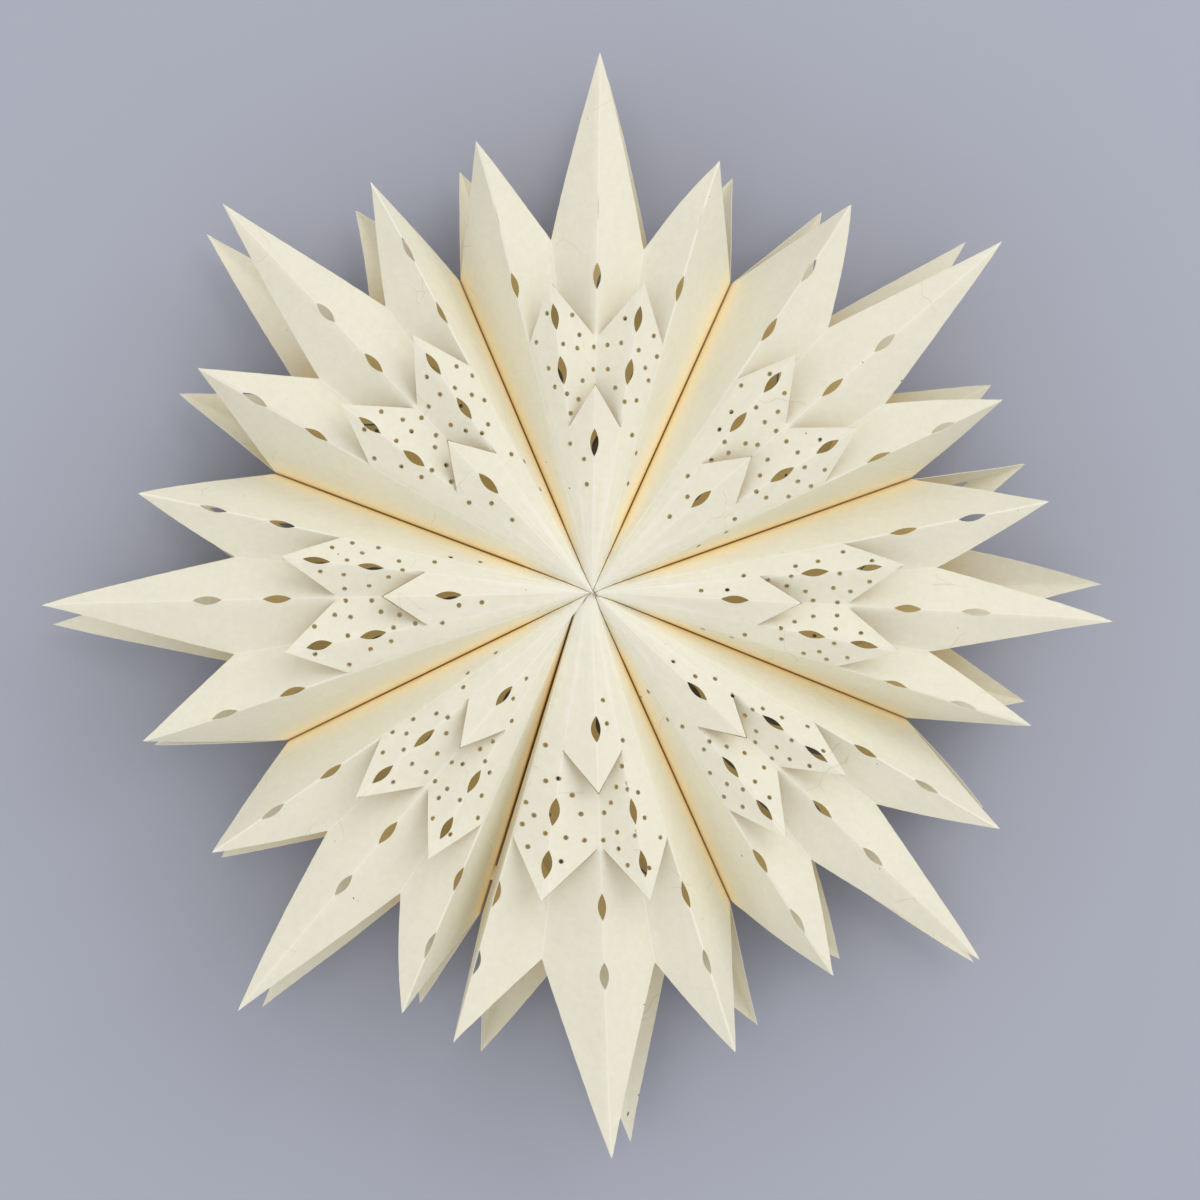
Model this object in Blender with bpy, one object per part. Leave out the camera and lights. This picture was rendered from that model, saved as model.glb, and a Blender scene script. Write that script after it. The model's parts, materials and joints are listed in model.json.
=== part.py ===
"""Folding paper snowflake star, 0.6 m across, lying flat with its front up.

Eight hollow units stand side by side round the fold axis, which is vertical. A unit is a front
sheet and a back sheet of thick handmade paper. Each sheet is one flat blank, cut, slit and folded:
every fold line starts at the sheet's apex on the fold axis, so the blank folds like a fan. The
blank's two flaps fold towards the other sheet and make the unit's side walls, and neighbouring
walls are glued together. One seam stays open: its two walls carry stiff card covers, held
together by small folded tabs.

Metres, +Z up. The origin is the middle of the footprint, on the surface that the star lies on.
"""

import math
from collections import namedtuple

import bmesh
import bpy
from mathutils import Vector
from mathutils.geometry import delaunay_2d_cdt

MM = 0.001

# Overall sizes, in millimetres and degrees
CENTRE_TIP = 300.0  # fold axis to a unit's long tip
SIDE_TIP = 257.0  # fold axis to a side tip
NOTCH = 197.0  # fold axis to the notch between two tips, along the paper; moves with their lengths
SEAM_END = 190.0  # fold axis to where the front and back sheets meet at a seam
HALF_DEPTH = 45.0  # middle plane to a sheet's apex and tips
UNIT_PITCH = 45.0  # angle from one unit to the next
SIDE_TIP_TURN = 15.2  # angle from a unit's middle to its side tips
VALLEY_SHARE = 0.5  # valley fold's place between the middle and a side fold
RIDGE_SHARE = 0.57  # the same for the pushed-out ridge inside the slits
PLEAT_RISE = 4.0  # how far a valley fold dips, and a pushed-out ridge rises
ROOF_RISE = 7.8  # how far the inner flap's middle ridge rises

# Paper, card and the gaps that glue or air fills
PAPER = 0.3
CARD = 0.7
GLUE_GAP = 0.4  # between the walls of two neighbouring units
MIDDLE_GAP = 0.6  # between a unit's front and back sheets, at the middle plane
COVER_GLUE_GAP = 0.2  # between an end wall and its cover
CLOSING_GAP = 2.2  # between the two covers
CENTRE_HOLE = 4.0  # radius that the sheets leave open round the fold axis
WALL_START = 22.0  # radius at which the side walls begin

# Slits and cut-outs, as distances from the apex along the paper
SLIT_WIDTH = 0.3
SLIT_TIP = 174.0  # point of each of the two outer slits, on the pushed-out ridge
SLIT_SIDE_END = 142.0  # its end on the side fold
SLIT_BRIDGE = 143.0  # its end at the bridge of paper left on the middle fold
BRIDGE = 3.4  # that bridge's width
ROOF_SLIT_TIP = 117.0  # point of the inner slit, on the middle fold
ROOF_SLIT_END = 94.0  # its ends on the two pushed-out ridges
LENS_LENGTH = 14.0
LENS_WIDTH = 5.0
LENS_SHOULDER = 0.14  # share of its length from a lens's middle to where its sides turn in
MIDDLE_LENSES = (80.5, 175.5, 214.0)  # on the middle fold
RIDGE_LENSES = (124.0, 154.0)  # on the two pushed-out ridges
SIDE_LENSES = (176.0, 215.5)  # on the two side folds

# End covers and closing tabs
COVER_END = 160.0  # radius at which a cover stops
COVER_INSET = 1.0  # how far a cover keeps inside the seam line
TAB_RADIUS = 167.0
TAB_WIDTH = 8.0
TAB_PAPER = 0.4
TAB_LEG = 4.0
TAB_GLUE_GAP = 0.2  # between a tab's legs and the end walls

MERGE = 0.002  # points of the flat blank closer than this are one

# Place of the fold axis from the middle of the footprint, which the uneven tips decide
FOLD_AXIS = (8.7, 7.4)

# Handmade unevenness, one row per unit counter-clockwise from +X. Each tip is (lean in degrees,
# extra length in millimetres), from the unit's low side to its high side.
Unit = namedtuple("Unit", "name front back")
UNITS = (
    Unit("right", ((-1.9, -2), (-3.0, -10), (-4.0, 2)), ((0.9, -3), (1.0, -10), (1.3, 0))),
    Unit("upper_right", ((-4.8, -5), (-4.6, 0), (-4.1, 2)), ((-2.3, -1), (-2.0, -8), (-1.3, -4))),
    Unit("top", ((-1.1, -7), (-0.9, 0), (-0.9, 2)), ((-3.3, -8), (-1.7, -6), (2.4, -6))),
    Unit("upper_left", ((-1.7, 2), (-1.4, -2), (0.2, -5)), ((1.7, -1), (2.2, 0), (4.1, 4))),
    Unit("left", ((2.7, 1), (1.2, 6), (3.4, 6)), ((2.7, -3), (3.5, 8), (4.3, 7))),
    Unit("lower_left", ((4.6, -1), (4.7, 5), (6.6, 0)), ((5.8, 3), (6.4, 2), (8.3, -3))),
    Unit("bottom", ((-0.8, 5), (1.9, 15), (2.2, 11)), ((2.7, 12), (3.8, 14), (5.6, 7))),
    Unit("lower_right", ((2.1, -5), (1.7, -3), (-0.3, 5)), ((4.1, -5), (0.7, 3), (1.3, -3))),
)
SEAM_LEANS = (-2.9, -1.7, 0.5, 1.9, 3.5, 5.4, 1.6, 0.6)  # seam after each unit
CLOSING_SEAM = 5  # the open seam is the one after this unit
CLOSING_OFFSET = -6.4  # how far the open seam passes beside the fold axis
PINCH = 3.0  # near the axis an offset is at most the radius over this
CROWDING = 0.15  # near the axis walls come this much further apart for each unit of radius

# The unit that stays put when the star folds, and the order of the rest on both sides of it
FIXED_UNIT = 2
CLOSING_WAY = (3, 4, 5)
OTHER_WAY = (1, 0, 7, 6)

Boundary = namedtuple("Boundary", "azimuth offset clearance")


def ray(azimuth_deg, rise_deg):
    """Unit vector at this azimuth, rising this far above the apex's level."""
    a, e = math.radians(azimuth_deg), math.radians(rise_deg)
    return Vector((math.cos(a) * math.cos(e), math.sin(a) * math.cos(e), math.sin(e)))


def polar(radius, angle):
    return Vector((radius * math.cos(angle), radius * math.sin(angle)))


# The flat blank. Angles are measured in the paper, from the middle fold, in radians.
SEAM_DROP = math.degrees(math.atan2(HALF_DEPTH - MIDDLE_GAP / 2, SEAM_END))
RIDGE_TURN = SIDE_TIP_TURN * RIDGE_SHARE
FLAT_VALLEY = ray(0, 0).angle(ray(SIDE_TIP_TURN * VALLEY_SHARE, -PLEAT_RISE))
FLAT_SIDE = FLAT_VALLEY + ray(SIDE_TIP_TURN * VALLEY_SHARE, -PLEAT_RISE).angle(ray(SIDE_TIP_TURN, 0))
FLAT_RIDGE = ray(0, 0).angle(ray(RIDGE_TURN, PLEAT_RISE))
FLAT_SEAM = FLAT_SIDE + ray(SIDE_TIP_TURN, 0).angle(ray(UNIT_PITCH / 2, -SEAM_DROP))
FLAT_AXIS = FLAT_SEAM + math.radians(90 - SEAM_DROP)
FLAT_BRIDGE = BRIDGE / 2 / SLIT_BRIDGE


def wall_point(radius, height):
    """Flat-blank place of the side wall's point at this radius and height above the middle."""
    down = HALF_DEPTH - height
    angle = FLAT_SEAM + math.atan2(down, radius) - math.radians(SEAM_DROP)
    return math.hypot(radius, down), angle


def seam_height(radius):
    return HALF_DEPTH - radius * math.tan(math.radians(SEAM_DROP))


def half_outline(centre_extra, side_extra):
    """Blank's outline as (distance, angle), from the long tip round one side to the centre."""
    return [
        (CENTRE_TIP + centre_extra, 0.0),
        (NOTCH + (centre_extra + side_extra) / 2, FLAT_VALLEY),
        (SIDE_TIP + side_extra, FLAT_SIDE),
        wall_point(SEAM_END, MIDDLE_GAP / 2),
        wall_point(WALL_START, MIDDLE_GAP / 2),
        wall_point(WALL_START, seam_height(WALL_START)),
        (CENTRE_HOLE, FLAT_SEAM),
        (CENTRE_HOLE, FLAT_SIDE),
        (CENTRE_HOLE, FLAT_RIDGE),
        (CENTRE_HOLE, 0.0),
    ]


def outer_slit(side):
    """One of the two outer slits, from its side fold over its point to the bridge and back."""
    half = SLIT_WIDTH / 2
    ends = [(SLIT_SIDE_END, FLAT_SIDE), (SLIT_TIP, FLAT_RIDGE), (SLIT_BRIDGE, FLAT_BRIDGE)]
    far = [(r + half, side * a) for r, a in ends]
    near = [(r - half, side * a) for r, a in reversed(ends)]
    return far + near


def roof_slit():
    half = SLIT_WIDTH / 2
    ends = [(ROOF_SLIT_END, FLAT_RIDGE), (ROOF_SLIT_TIP, 0.0), (ROOF_SLIT_END, -FLAT_RIDGE)]
    far = [(r + half, a) for r, a in ends]
    near = [(r - half, a) for r, a in reversed(ends)]
    return far + near


def lens(distance, angle):
    """Lens-shaped cut-out lying along a fold, as flat points."""
    along = polar(1.0, angle)
    across = Vector((-along.y, along.x))
    near = LENS_SHOULDER
    shape = [(-0.5, 0.0), (-near, 0.5), (near, 0.5), (0.5, 0.0), (near, -0.5), (-near, -0.5)]
    return [along * (distance + x * LENS_LENGTH) + across * y * LENS_WIDTH for x, y in shape]


def lens_places():
    places = [(r, 0.0) for r in MIDDLE_LENSES]
    for side in (1, -1):
        places += [(r, side * FLAT_RIDGE) for r in RIDGE_LENSES]
        places += [(r, side * FLAT_SIDE) for r in SIDE_LENSES]
    return places


def fold_lines(halves):
    """Fold lines of the blank, each from its inner end to its outer end on the outline."""
    lines = [((CENTRE_HOLE, 0.0), halves[1][0])]
    for side, (_, notch, side_tip, *_) in halves.items():
        lines.append(((CENTRE_HOLE, side * FLAT_RIDGE), (SLIT_TIP, side * FLAT_RIDGE)))
        lines.append(((slit_distance(FLAT_VALLEY), side * FLAT_VALLEY), (notch[0], side * FLAT_VALLEY)))
        lines.append(((CENTRE_HOLE, side * FLAT_SIDE), (side_tip[0], side * FLAT_SIDE)))
        wall_top, _ = wall_point(WALL_START, seam_height(WALL_START))
        seam_end, _ = wall_point(SEAM_END, MIDDLE_GAP / 2)
        lines.append(((wall_top, side * FLAT_SEAM), (seam_end, side * FLAT_SEAM)))
    return lines


def crossing(angle, start, end):
    """Distance at which a ray at this angle crosses the straight cut from start to end."""
    (r0, a0), (r1, a1) = start, end
    return r0 * r1 * math.sin(a1 - a0) / (r0 * math.sin(angle - a0) + r1 * math.sin(a1 - angle))


def slit_distance(angle):
    """Distance of the outer slits at this angle from the middle fold."""
    if angle <= FLAT_BRIDGE:
        return SLIT_BRIDGE
    if angle <= FLAT_RIDGE:
        return crossing(angle, (SLIT_BRIDGE, FLAT_BRIDGE), (SLIT_TIP, FLAT_RIDGE))
    return crossing(angle, (SLIT_TIP, FLAT_RIDGE), (SLIT_SIDE_END, FLAT_SIDE))


def roof_distance(angle):
    return crossing(angle, (ROOF_SLIT_TIP, 0.0), (ROOF_SLIT_END, FLAT_RIDGE))


def counter_clockwise(loop):
    """The loop, turned round if it runs clockwise."""
    area = sum(a.cross(b) for a, b in zip(loop, loop[1:] + loop[:1]))
    return loop if area > 0 else loop[::-1]


def blank(extras):
    """Triangles of the flat blank whose three tips are this much longer: (flat points, triangles),
    with slits and cut-outs left out."""
    low, centre, high = extras
    halves = {1: half_outline(centre, high), -1: half_outline(centre, low)}
    loops = [[polar(r, a) for r, a in halves[1]]]
    loops[0] += [polar(r, -a) for r, a in reversed(halves[-1][1:-1])]
    loops += [[polar(r, a) for r, a in slit] for slit in (outer_slit(1), outer_slit(-1), roof_slit())]
    loops += [lens(r, a) for r, a in lens_places()]
    points, faces = [], []
    for loop in loops:
        faces.append(list(range(len(points), len(points) + len(loop))))
        points += counter_clockwise(loop)
    edges = []
    for start, end in fold_lines(halves):
        edges.append((len(points), len(points) + 1))
        points += [polar(*start), polar(*end)]
    flat, _, triangles, _, _, sources = delaunay_2d_cdt(points, edges, faces, 1, MERGE)
    paper = [t for t, source in zip(triangles, sources) if source == [0]]
    return flat, paper


# How a sheet stands once it is folded. Vectors are per millimetre of paper, from the apex.
Folds = namedtuple("Folds", "outer pushed roof")


def fold_vectors(unit_azimuth, leans, low, high):
    """Where each fold of a sheet points: for either side, lists of (flat angle, vector)."""
    turns = (-SIDE_TIP_TURN, 0, SIDE_TIP_TURN)
    azimuths = [unit_azimuth + turn + lean for turn, lean in zip(turns, leans)]
    centre = ray(azimuths[1], 0)
    roof = ray(azimuths[1], ROOF_RISE)
    sides = {}
    for side, at, boundary in ((1, 2, high), (-1, 0, low)):
        turn = azimuths[at] - azimuths[1]
        valley = ray(azimuths[1] + turn * VALLEY_SHARE, -PLEAT_RISE)
        ridge = ray(azimuths[1] + turn * RIDGE_SHARE, PLEAT_RISE)
        outer = [
            (FLAT_SIDE, ray(azimuths[at], 0)),
            (FLAT_SEAM, ray(boundary.azimuth, -SEAM_DROP)),
            (FLAT_AXIS, Vector((0, 0, -1))),
        ]
        sides[side] = Folds(
            outer=[(0.0, centre), (FLAT_VALLEY, valley)] + outer,
            pushed=[(0.0, centre), (FLAT_RIDGE, ridge)] + outer,
            roof=[(0.0, roof), (FLAT_RIDGE, ridge)] + outer,
        )
    return sides, azimuths[1]


def on_facet(distance, angle, folds):
    """The folded place of a flat point, on the facet between the two folds beside it."""
    for (a0, v0), (a1, v1) in zip(folds, folds[1:]):
        if angle <= a1:
            break
    span = math.sin(a1 - a0)
    return v0 * (distance * math.sin(a1 - angle) / span) + v1 * (distance * math.sin(angle - a0) / span)


def folded(flat, sides):
    """A flat point's place from the apex, with the slits' flaps pushed out."""
    distance, angle = flat.length, abs(math.atan2(flat.y, flat.x))
    folds = sides[1 if flat.y >= 0 else -1]
    if angle >= FLAT_SIDE:
        return on_facet(distance, angle, folds.outer)
    across = distance * (angle - FLAT_BRIDGE)
    if across <= MERGE and abs(distance - SLIT_BRIDGE) < SLIT_WIDTH:
        # the bridge joins the pleat beyond it to the flap, half way between the two
        return (on_facet(distance, angle, folds.outer) + on_facet(distance, angle, folds.pushed)) / 2
    if distance > slit_distance(angle):
        return on_facet(distance, angle, folds.outer)
    if angle < FLAT_RIDGE and distance < roof_distance(angle):
        return on_facet(distance, angle, folds.roof)
    return on_facet(distance, angle, folds.pushed)


def boundary_azimuth(boundary, radius, way):
    """Azimuth of a side wall's middle surface at this radius; way is +1 on the high side."""
    offset = math.copysign(min(abs(boundary.offset), radius / PINCH), boundary.offset)
    closest = (GLUE_GAP + PAPER) / 2
    clearance = min(boundary.clearance, closest + max(0.0, radius - CENTRE_HOLE) * CROWDING)
    clearance = min(clearance, radius / PINCH)
    turn = math.asin(offset / radius) - way * math.asin(clearance / radius)
    return boundary.azimuth + math.degrees(turn)


def fitted(place, centre_azimuth, low, high):
    """Turns a folded point about the fold axis so that the unit fits between its boundaries."""
    radius = math.hypot(place.x, place.y)
    turn = math.degrees(math.atan2(place.y, place.x)) - centre_azimuth
    turn = (turn + 180.0) % 360.0 - 180.0
    way = 1 if turn >= 0 else -1
    boundary = high if way > 0 else low
    nominal = (boundary.azimuth - centre_azimuth + 180.0) % 360.0 - 180.0
    actual = (boundary_azimuth(boundary, radius, way) - centre_azimuth + 180.0) % 360.0 - 180.0
    azimuth = math.radians(centre_azimuth + turn / nominal * actual)
    return Vector((radius * math.cos(azimuth), radius * math.sin(azimuth), place.z))


def boundary_after(index, facing_cover):
    """The seam after a unit: its azimuth, its offset, and the clearance that a wall keeps."""
    index %= len(UNITS)
    azimuth = (index + 0.5) * UNIT_PITCH + SEAM_LEANS[index]
    if index != CLOSING_SEAM:
        return Boundary(azimuth, 0.0, (GLUE_GAP + PAPER) / 2)
    clearance = CLOSING_GAP / 2 + CARD + COVER_GLUE_GAP + PAPER / 2
    return Boundary(azimuth, CLOSING_OFFSET, clearance if facing_cover else 0.0)


# The lowest points are the roof ridges of the back sheets: this puts them on the surface.
ROOF_DEPTH = HALF_DEPTH + (ROOF_SLIT_TIP - SLIT_WIDTH / 2) * ray(0, ROOF_RISE).z
ROOF_SLOPE = math.atan2(ray(0, ROOF_RISE).z - ray(0, PLEAT_RISE).z, ray(RIDGE_TURN, 0).y)
MIDDLE_HEIGHT = ROOF_DEPTH + PAPER / 2 / math.cos(ROOF_SLOPE)


def star_point(place, face):
    """From a point about the star's middle, in millimetres, to the model's frame in metres."""
    x, y = FOLD_AXIS
    return Vector((place.x + x, place.y + y, face * place.z + MIDDLE_HEIGHT)) * MM


def material(name, colour, roughness):
    made = bpy.data.materials.new(name)
    made.use_nodes = True
    shader = made.node_tree.nodes["Principled BSDF"]
    shader.inputs["Base Color"].default_value = (*colour, 1.0)
    shader.inputs["Roughness"].default_value = roughness
    shader.inputs["Metallic"].default_value = 0.0
    return made


def turning_place(holder):
    """Where an unturned empty stands in the model's frame, added up from its chain of parents."""
    place = Vector((0.0, 0.0, 0.0))
    while holder is not None:
        place += holder.location
        holder = holder.parent
    return place


def placed(name, mesh, finish, holder):
    """An object on its empty's axis, held by that empty, from a mesh made in the model's frame."""
    mesh.materials.append(finish)
    axis = turning_place(holder)
    for vertex in mesh.vertices:
        vertex.co -= axis
    piece = bpy.data.objects.new(name, mesh)
    bpy.context.scene.collection.objects.link(piece)
    piece.parent = holder
    return piece


def sheet(name, unit_index, face, finish, holder):
    """A folded sheet of paper: face is +1 for a front sheet and -1 for a back sheet."""
    unit = UNITS[unit_index]
    leans, extras = zip(*(unit.front if face > 0 else unit.back))
    flat, triangles = blank(extras)
    low = boundary_after(unit_index - 1, True)
    high = boundary_after(unit_index, True)
    sides, centre_azimuth = fold_vectors(unit_index * UNIT_PITCH, leans, low, high)
    used = sorted({i for t in triangles for i in t})
    renumber = {old: new for new, old in enumerate(used)}
    points = []
    for i in used:
        place = fitted(folded(flat[i], sides), centre_azimuth, low, high)
        place.z += HALF_DEPTH
        points.append(star_point(place, face))
    order = (0, 1, 2) if face > 0 else (0, 2, 1)
    faces = [[renumber[t[k]] for k in order] for t in triangles]
    mesh = bpy.data.meshes.new(name)
    mesh.from_pydata(points, [], faces)
    piece = placed(name, mesh, finish, holder)
    thick = piece.modifiers.new("Paper thickness", "SOLIDIFY")
    thick.thickness = PAPER * MM
    thick.offset = 0.0
    thick.use_even_offset = True
    thick.use_quality_normals = True
    return piece


def closing_point(radius, height, across):
    """A point at the open seam: across is its distance from the seam's own middle plane."""
    azimuth = math.radians((CLOSING_SEAM + 0.5) * UNIT_PITCH + SEAM_LEANS[CLOSING_SEAM])
    along = Vector((math.cos(azimuth), math.sin(azimuth), 0.0))
    beside = Vector((-along.y, along.x, 0.0))
    return along * radius + beside * (across + CLOSING_OFFSET) + Vector((0.0, 0.0, height))


def extruded(name, loop, depth, finish, holder):
    """A solid from a flat loop of points about the star's middle, pushed along depth."""
    shape = bmesh.new()
    base = shape.faces.new([shape.verts.new(star_point(p, 1)) for p in loop])
    grown = bmesh.ops.extrude_face_region(shape, geom=[base])
    moved = [g for g in grown["geom"] if isinstance(g, bmesh.types.BMVert)]
    bmesh.ops.translate(shape, verts=moved, vec=depth * MM)
    bmesh.ops.recalc_face_normals(shape, faces=shape.faces)
    mesh = bpy.data.meshes.new(name)
    shape.to_mesh(mesh)
    shape.free()
    return placed(name, mesh, finish, holder)


def end_cover(name, way, finish, holder):
    """Stiff card on an end wall; way is -1 on the seam's low side and +1 on its high side."""
    outline = [(WALL_START, seam_height(WALL_START)), (COVER_END, seam_height(COVER_END))]
    loop = [(r, z - COVER_INSET) for r, z in outline] + [(r, COVER_INSET - z) for r, z in reversed(outline)]
    inner = way * CLOSING_GAP / 2
    points = [closing_point(r, z, inner) for r, z in loop]
    depth = closing_point(0, 0, inner + way * CARD) - closing_point(0, 0, inner)
    return extruded(name, points, depth, finish, holder)


def closing_tab(name, face, finish, holder):
    """A paper strip folded over into the open seam beyond the covers, a leg on each end wall."""
    outer = CLOSING_GAP / 2 + CARD + COVER_GLUE_GAP - TAB_GLUE_GAP
    inner = outer - TAB_PAPER
    top = seam_height(TAB_RADIUS) - COVER_INSET
    bends = 8
    angles = [math.pi * i / bends for i in range(bends + 1)]
    profile = [(outer, top - TAB_LEG)]
    profile += [(outer * math.cos(a), top + outer * math.sin(a)) for a in angles]
    profile += [(-outer, top - TAB_LEG), (-inner, top - TAB_LEG)]
    profile += [(-inner * math.cos(a), top + inner * math.sin(a)) for a in angles]
    profile += [(inner, top - TAB_LEG)]
    start = TAB_RADIUS - TAB_WIDTH / 2
    points = [closing_point(start, face * height, across) for across, height in profile]
    depth = closing_point(TAB_WIDTH, 0, 0) - closing_point(0, 0, 0)
    return extruded(name, points, depth, finish, holder)


def fold_empty(name, parent, place=(0.0, 0.0, 0.0)):
    """An empty that a unit or a cover turns about, at a place in metres from its parent."""
    empty = bpy.data.objects.new(name, None)
    bpy.context.scene.collection.objects.link(empty)
    empty.empty_display_size = 0.05
    empty.location = place
    empty.parent = parent
    return empty


def build():
    for left_over in list(bpy.data.objects):
        bpy.data.objects.remove(left_over, do_unlink=True)
    paper = material("handmade_paper", (0.855, 0.814, 0.716), 0.9)
    card = material("brown_card", (0.42, 0.26, 0.12), 0.85)
    fold_axis = Vector((*FOLD_AXIS, 0.0)) * MM
    holders = {FIXED_UNIT: fold_empty("hold_" + UNITS[FIXED_UNIT].name, None, fold_axis)}
    for chain in (CLOSING_WAY, OTHER_WAY):
        before = FIXED_UNIT
        for index in chain:
            holders[index] = fold_empty("hold_" + UNITS[index].name, holders[before])
            before = index
    for index, unit in enumerate(UNITS):
        sheet("front_sheet_" + unit.name, index, 1, paper, holders[index])
        sheet("back_sheet_" + unit.name, index, -1, paper, holders[index])
    # The seam passes beside the fold axis, so the cover on the axis's side turns at its inner end.
    inner_end = closing_point(WALL_START, 0, 0) * MM
    low_hold = fold_empty("hold_low_cover", holders[CLOSING_WAY[-1]], inner_end)
    high_hold = fold_empty("hold_high_cover", holders[OTHER_WAY[-1]])
    end_cover("end_cover_low", -1, card, low_hold)
    end_cover("end_cover_high", 1, card, high_hold)
    closing_tab("closing_tab_front", 1, paper, high_hold)
    closing_tab("closing_tab_back", -1, paper, high_hold)


build()
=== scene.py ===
"""Paper snowflake star: the finished paper, card and studio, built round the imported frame.

Each sheet is one flat blank of handmade paper, cut and punched, then folded like a fan about the
star's fold axis. Lengths are in millimetres until a point is placed in the frame, in metres.
"""
import json
import math
import random
from collections import namedtuple

import bmesh
import bpy
from bpy.props import FloatProperty, FloatVectorProperty, IntProperty, PointerProperty
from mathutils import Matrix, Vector, noise
from mathutils.geometry import delaunay_2d_cdt
from mathutils.kdtree import KDTree


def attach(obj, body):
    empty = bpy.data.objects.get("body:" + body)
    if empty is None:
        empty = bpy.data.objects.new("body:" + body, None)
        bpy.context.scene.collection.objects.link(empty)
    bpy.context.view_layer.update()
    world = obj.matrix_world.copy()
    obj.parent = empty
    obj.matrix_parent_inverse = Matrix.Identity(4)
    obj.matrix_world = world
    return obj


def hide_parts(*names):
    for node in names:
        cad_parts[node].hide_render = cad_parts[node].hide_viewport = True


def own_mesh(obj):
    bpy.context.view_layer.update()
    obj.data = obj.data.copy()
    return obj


bl_info = {
    "name": "Paper Snowflake Star",
    "version": (1, 0, 0),
    "blender": (4, 5, 0),
    "location": "3D View > Sidebar > Star",
    "description": "Builds a folding snowflake star of handmade paper round its frame",
    "category": "Object",
}

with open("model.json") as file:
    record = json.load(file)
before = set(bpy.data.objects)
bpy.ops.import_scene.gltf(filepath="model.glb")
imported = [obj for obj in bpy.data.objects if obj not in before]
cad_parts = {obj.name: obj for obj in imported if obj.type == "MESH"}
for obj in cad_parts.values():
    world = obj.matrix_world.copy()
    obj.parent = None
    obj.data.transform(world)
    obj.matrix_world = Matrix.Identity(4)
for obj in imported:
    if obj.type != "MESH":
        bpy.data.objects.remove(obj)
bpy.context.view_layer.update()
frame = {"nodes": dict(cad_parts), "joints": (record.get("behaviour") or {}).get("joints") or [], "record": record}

MM = 0.001

# Overall sizes of a unit, as its frame has them
CENTRE_TIP = 300.0  # fold axis to a unit's long tip
SIDE_TIP = 257.0  # fold axis to a side tip
NOTCH = 197.0  # fold axis to the notch between two tips, along the paper
SEAM_END = 190.0  # fold axis to where the front and back sheets meet at a seam
HALF_DEPTH = 45.0  # middle plane to a sheet's apex and tips
PAPER = 0.3
UNIT_PITCH = 45.0
SIDE_TIP_TURN = 15.2  # angle from a unit's middle to its side tips
VALLEY_SHARE = 0.5  # valley fold's place between the middle and a side fold
RIDGE_SHARE = 0.57  # the same for the pushed-out ridge inside the slits
PLEAT_RISE = 4.0  # how far a valley fold dips, and a pushed-out ridge rises
ROOF_RISE = 7.8  # how far the inner flap's middle ridge rises
GLUE_GAP = 0.4  # between the walls of two neighbouring units
MIDDLE_GAP = 0.6  # between a unit's front and back sheets, at the middle plane
CARD = 0.7
COVER_GLUE_GAP = 0.2
CLOSING_GAP = 2.2  # between the two covers
WALL_START = 22.0  # radius at which the side walls begin
CENTRE_HOLE = 0.4  # radius that the sheets leave open round the fold axis
TIGHT_GAP = 0.08  # between two neighbouring walls at the centre, where the points press together
GAP_OPENING = 0.006  # how fast that gap grows outwards, up to the glue's own thickness

# Slits and cut-outs, as distances from the apex along the paper
SLIT_WIDTH = 0.3
SLIT_TIP = 174.0
SLIT_SIDE_END = 142.0
SLIT_BRIDGE = 143.0
BRIDGE = 3.4
ROOF_SLIT_TIP = 117.0
ROOF_SLIT_END = 94.0
LENS_LENGTH = 15.7
LENS_WIDTH = 5.2
MIDDLE_LENSES = (175.5, 214.0)
RIDGE_LENSES = (124.0, 154.0)
SIDE_LENSES = (176.0, 215.5)

# Punched dots of one unit as (turn in degrees from the middle fold, distance in millimetres)
PUNCHED_DOTS = (
    (5.4, 153.9), (10.0, 156.1), (3.7, 143.3), (7.9, 137.8), (13.4, 141.1), (0.8, 136.8),
    (4.1, 134.4), (11.6, 127.2), (1.1, 123.3), (3.5, 118.3), (11.0, 114.4), (8.3, 111.7),
    (5.1, 108.3), (7.7, 99.4), (9.5, 84.4), (4.5, 74.4), (3.7, 60.6),
    (-6.1, 151.7), (-12.3, 146.1), (-9.7, 137.2), (-6.0, 138.4), (-2.5, 136.7), (-14.3, 135.6),
    (-12.1, 129.4), (-3.3, 122.8), (-14.2, 121.1), (-5.8, 113.9), (-11.8, 108.9),
    (-8.9, 106.1), (-13.3, 89.4), (-16.6, 81.7), (-17.5, 64.4),
)  # fmt: skip

# Handmade unevenness, one row per unit counter-clockwise from +X. Each tip is (lean in degrees,
# extra length in millimetres), from the unit's low side to its high side.
Unit = namedtuple("Unit", "name front back")
UNITS = (
    Unit("right", ((-1.9, -2), (-3.0, -10), (-4.0, 2)), ((0.9, -3), (1.0, -10), (1.3, 0))),
    Unit("upper_right", ((-4.8, -5), (-4.6, 0), (-4.1, 2)), ((-2.3, -1), (-2.0, -8), (-1.3, -4))),
    Unit("top", ((-1.1, -7), (-0.9, 0), (-0.9, 2)), ((-3.3, -8), (-1.7, -6), (2.4, -6))),
    Unit("upper_left", ((-1.7, 2), (-1.4, -2), (0.2, -5)), ((1.7, -1), (2.2, 0), (4.1, 4))),
    Unit("left", ((2.7, 1), (1.2, 6), (3.4, 6)), ((2.7, -3), (3.5, 8), (4.3, 7))),
    Unit("lower_left", ((4.6, -1), (4.7, 5), (6.6, 0)), ((5.8, 3), (6.4, 2), (8.3, -3))),
    Unit("bottom", ((-0.8, 5), (1.9, 15), (2.2, 11)), ((2.7, 12), (3.8, 14), (5.6, 7))),
    Unit("lower_right", ((2.1, -5), (1.7, -3), (-0.3, 5)), ((4.1, -5), (0.7, 3), (1.3, -3))),
)

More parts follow.
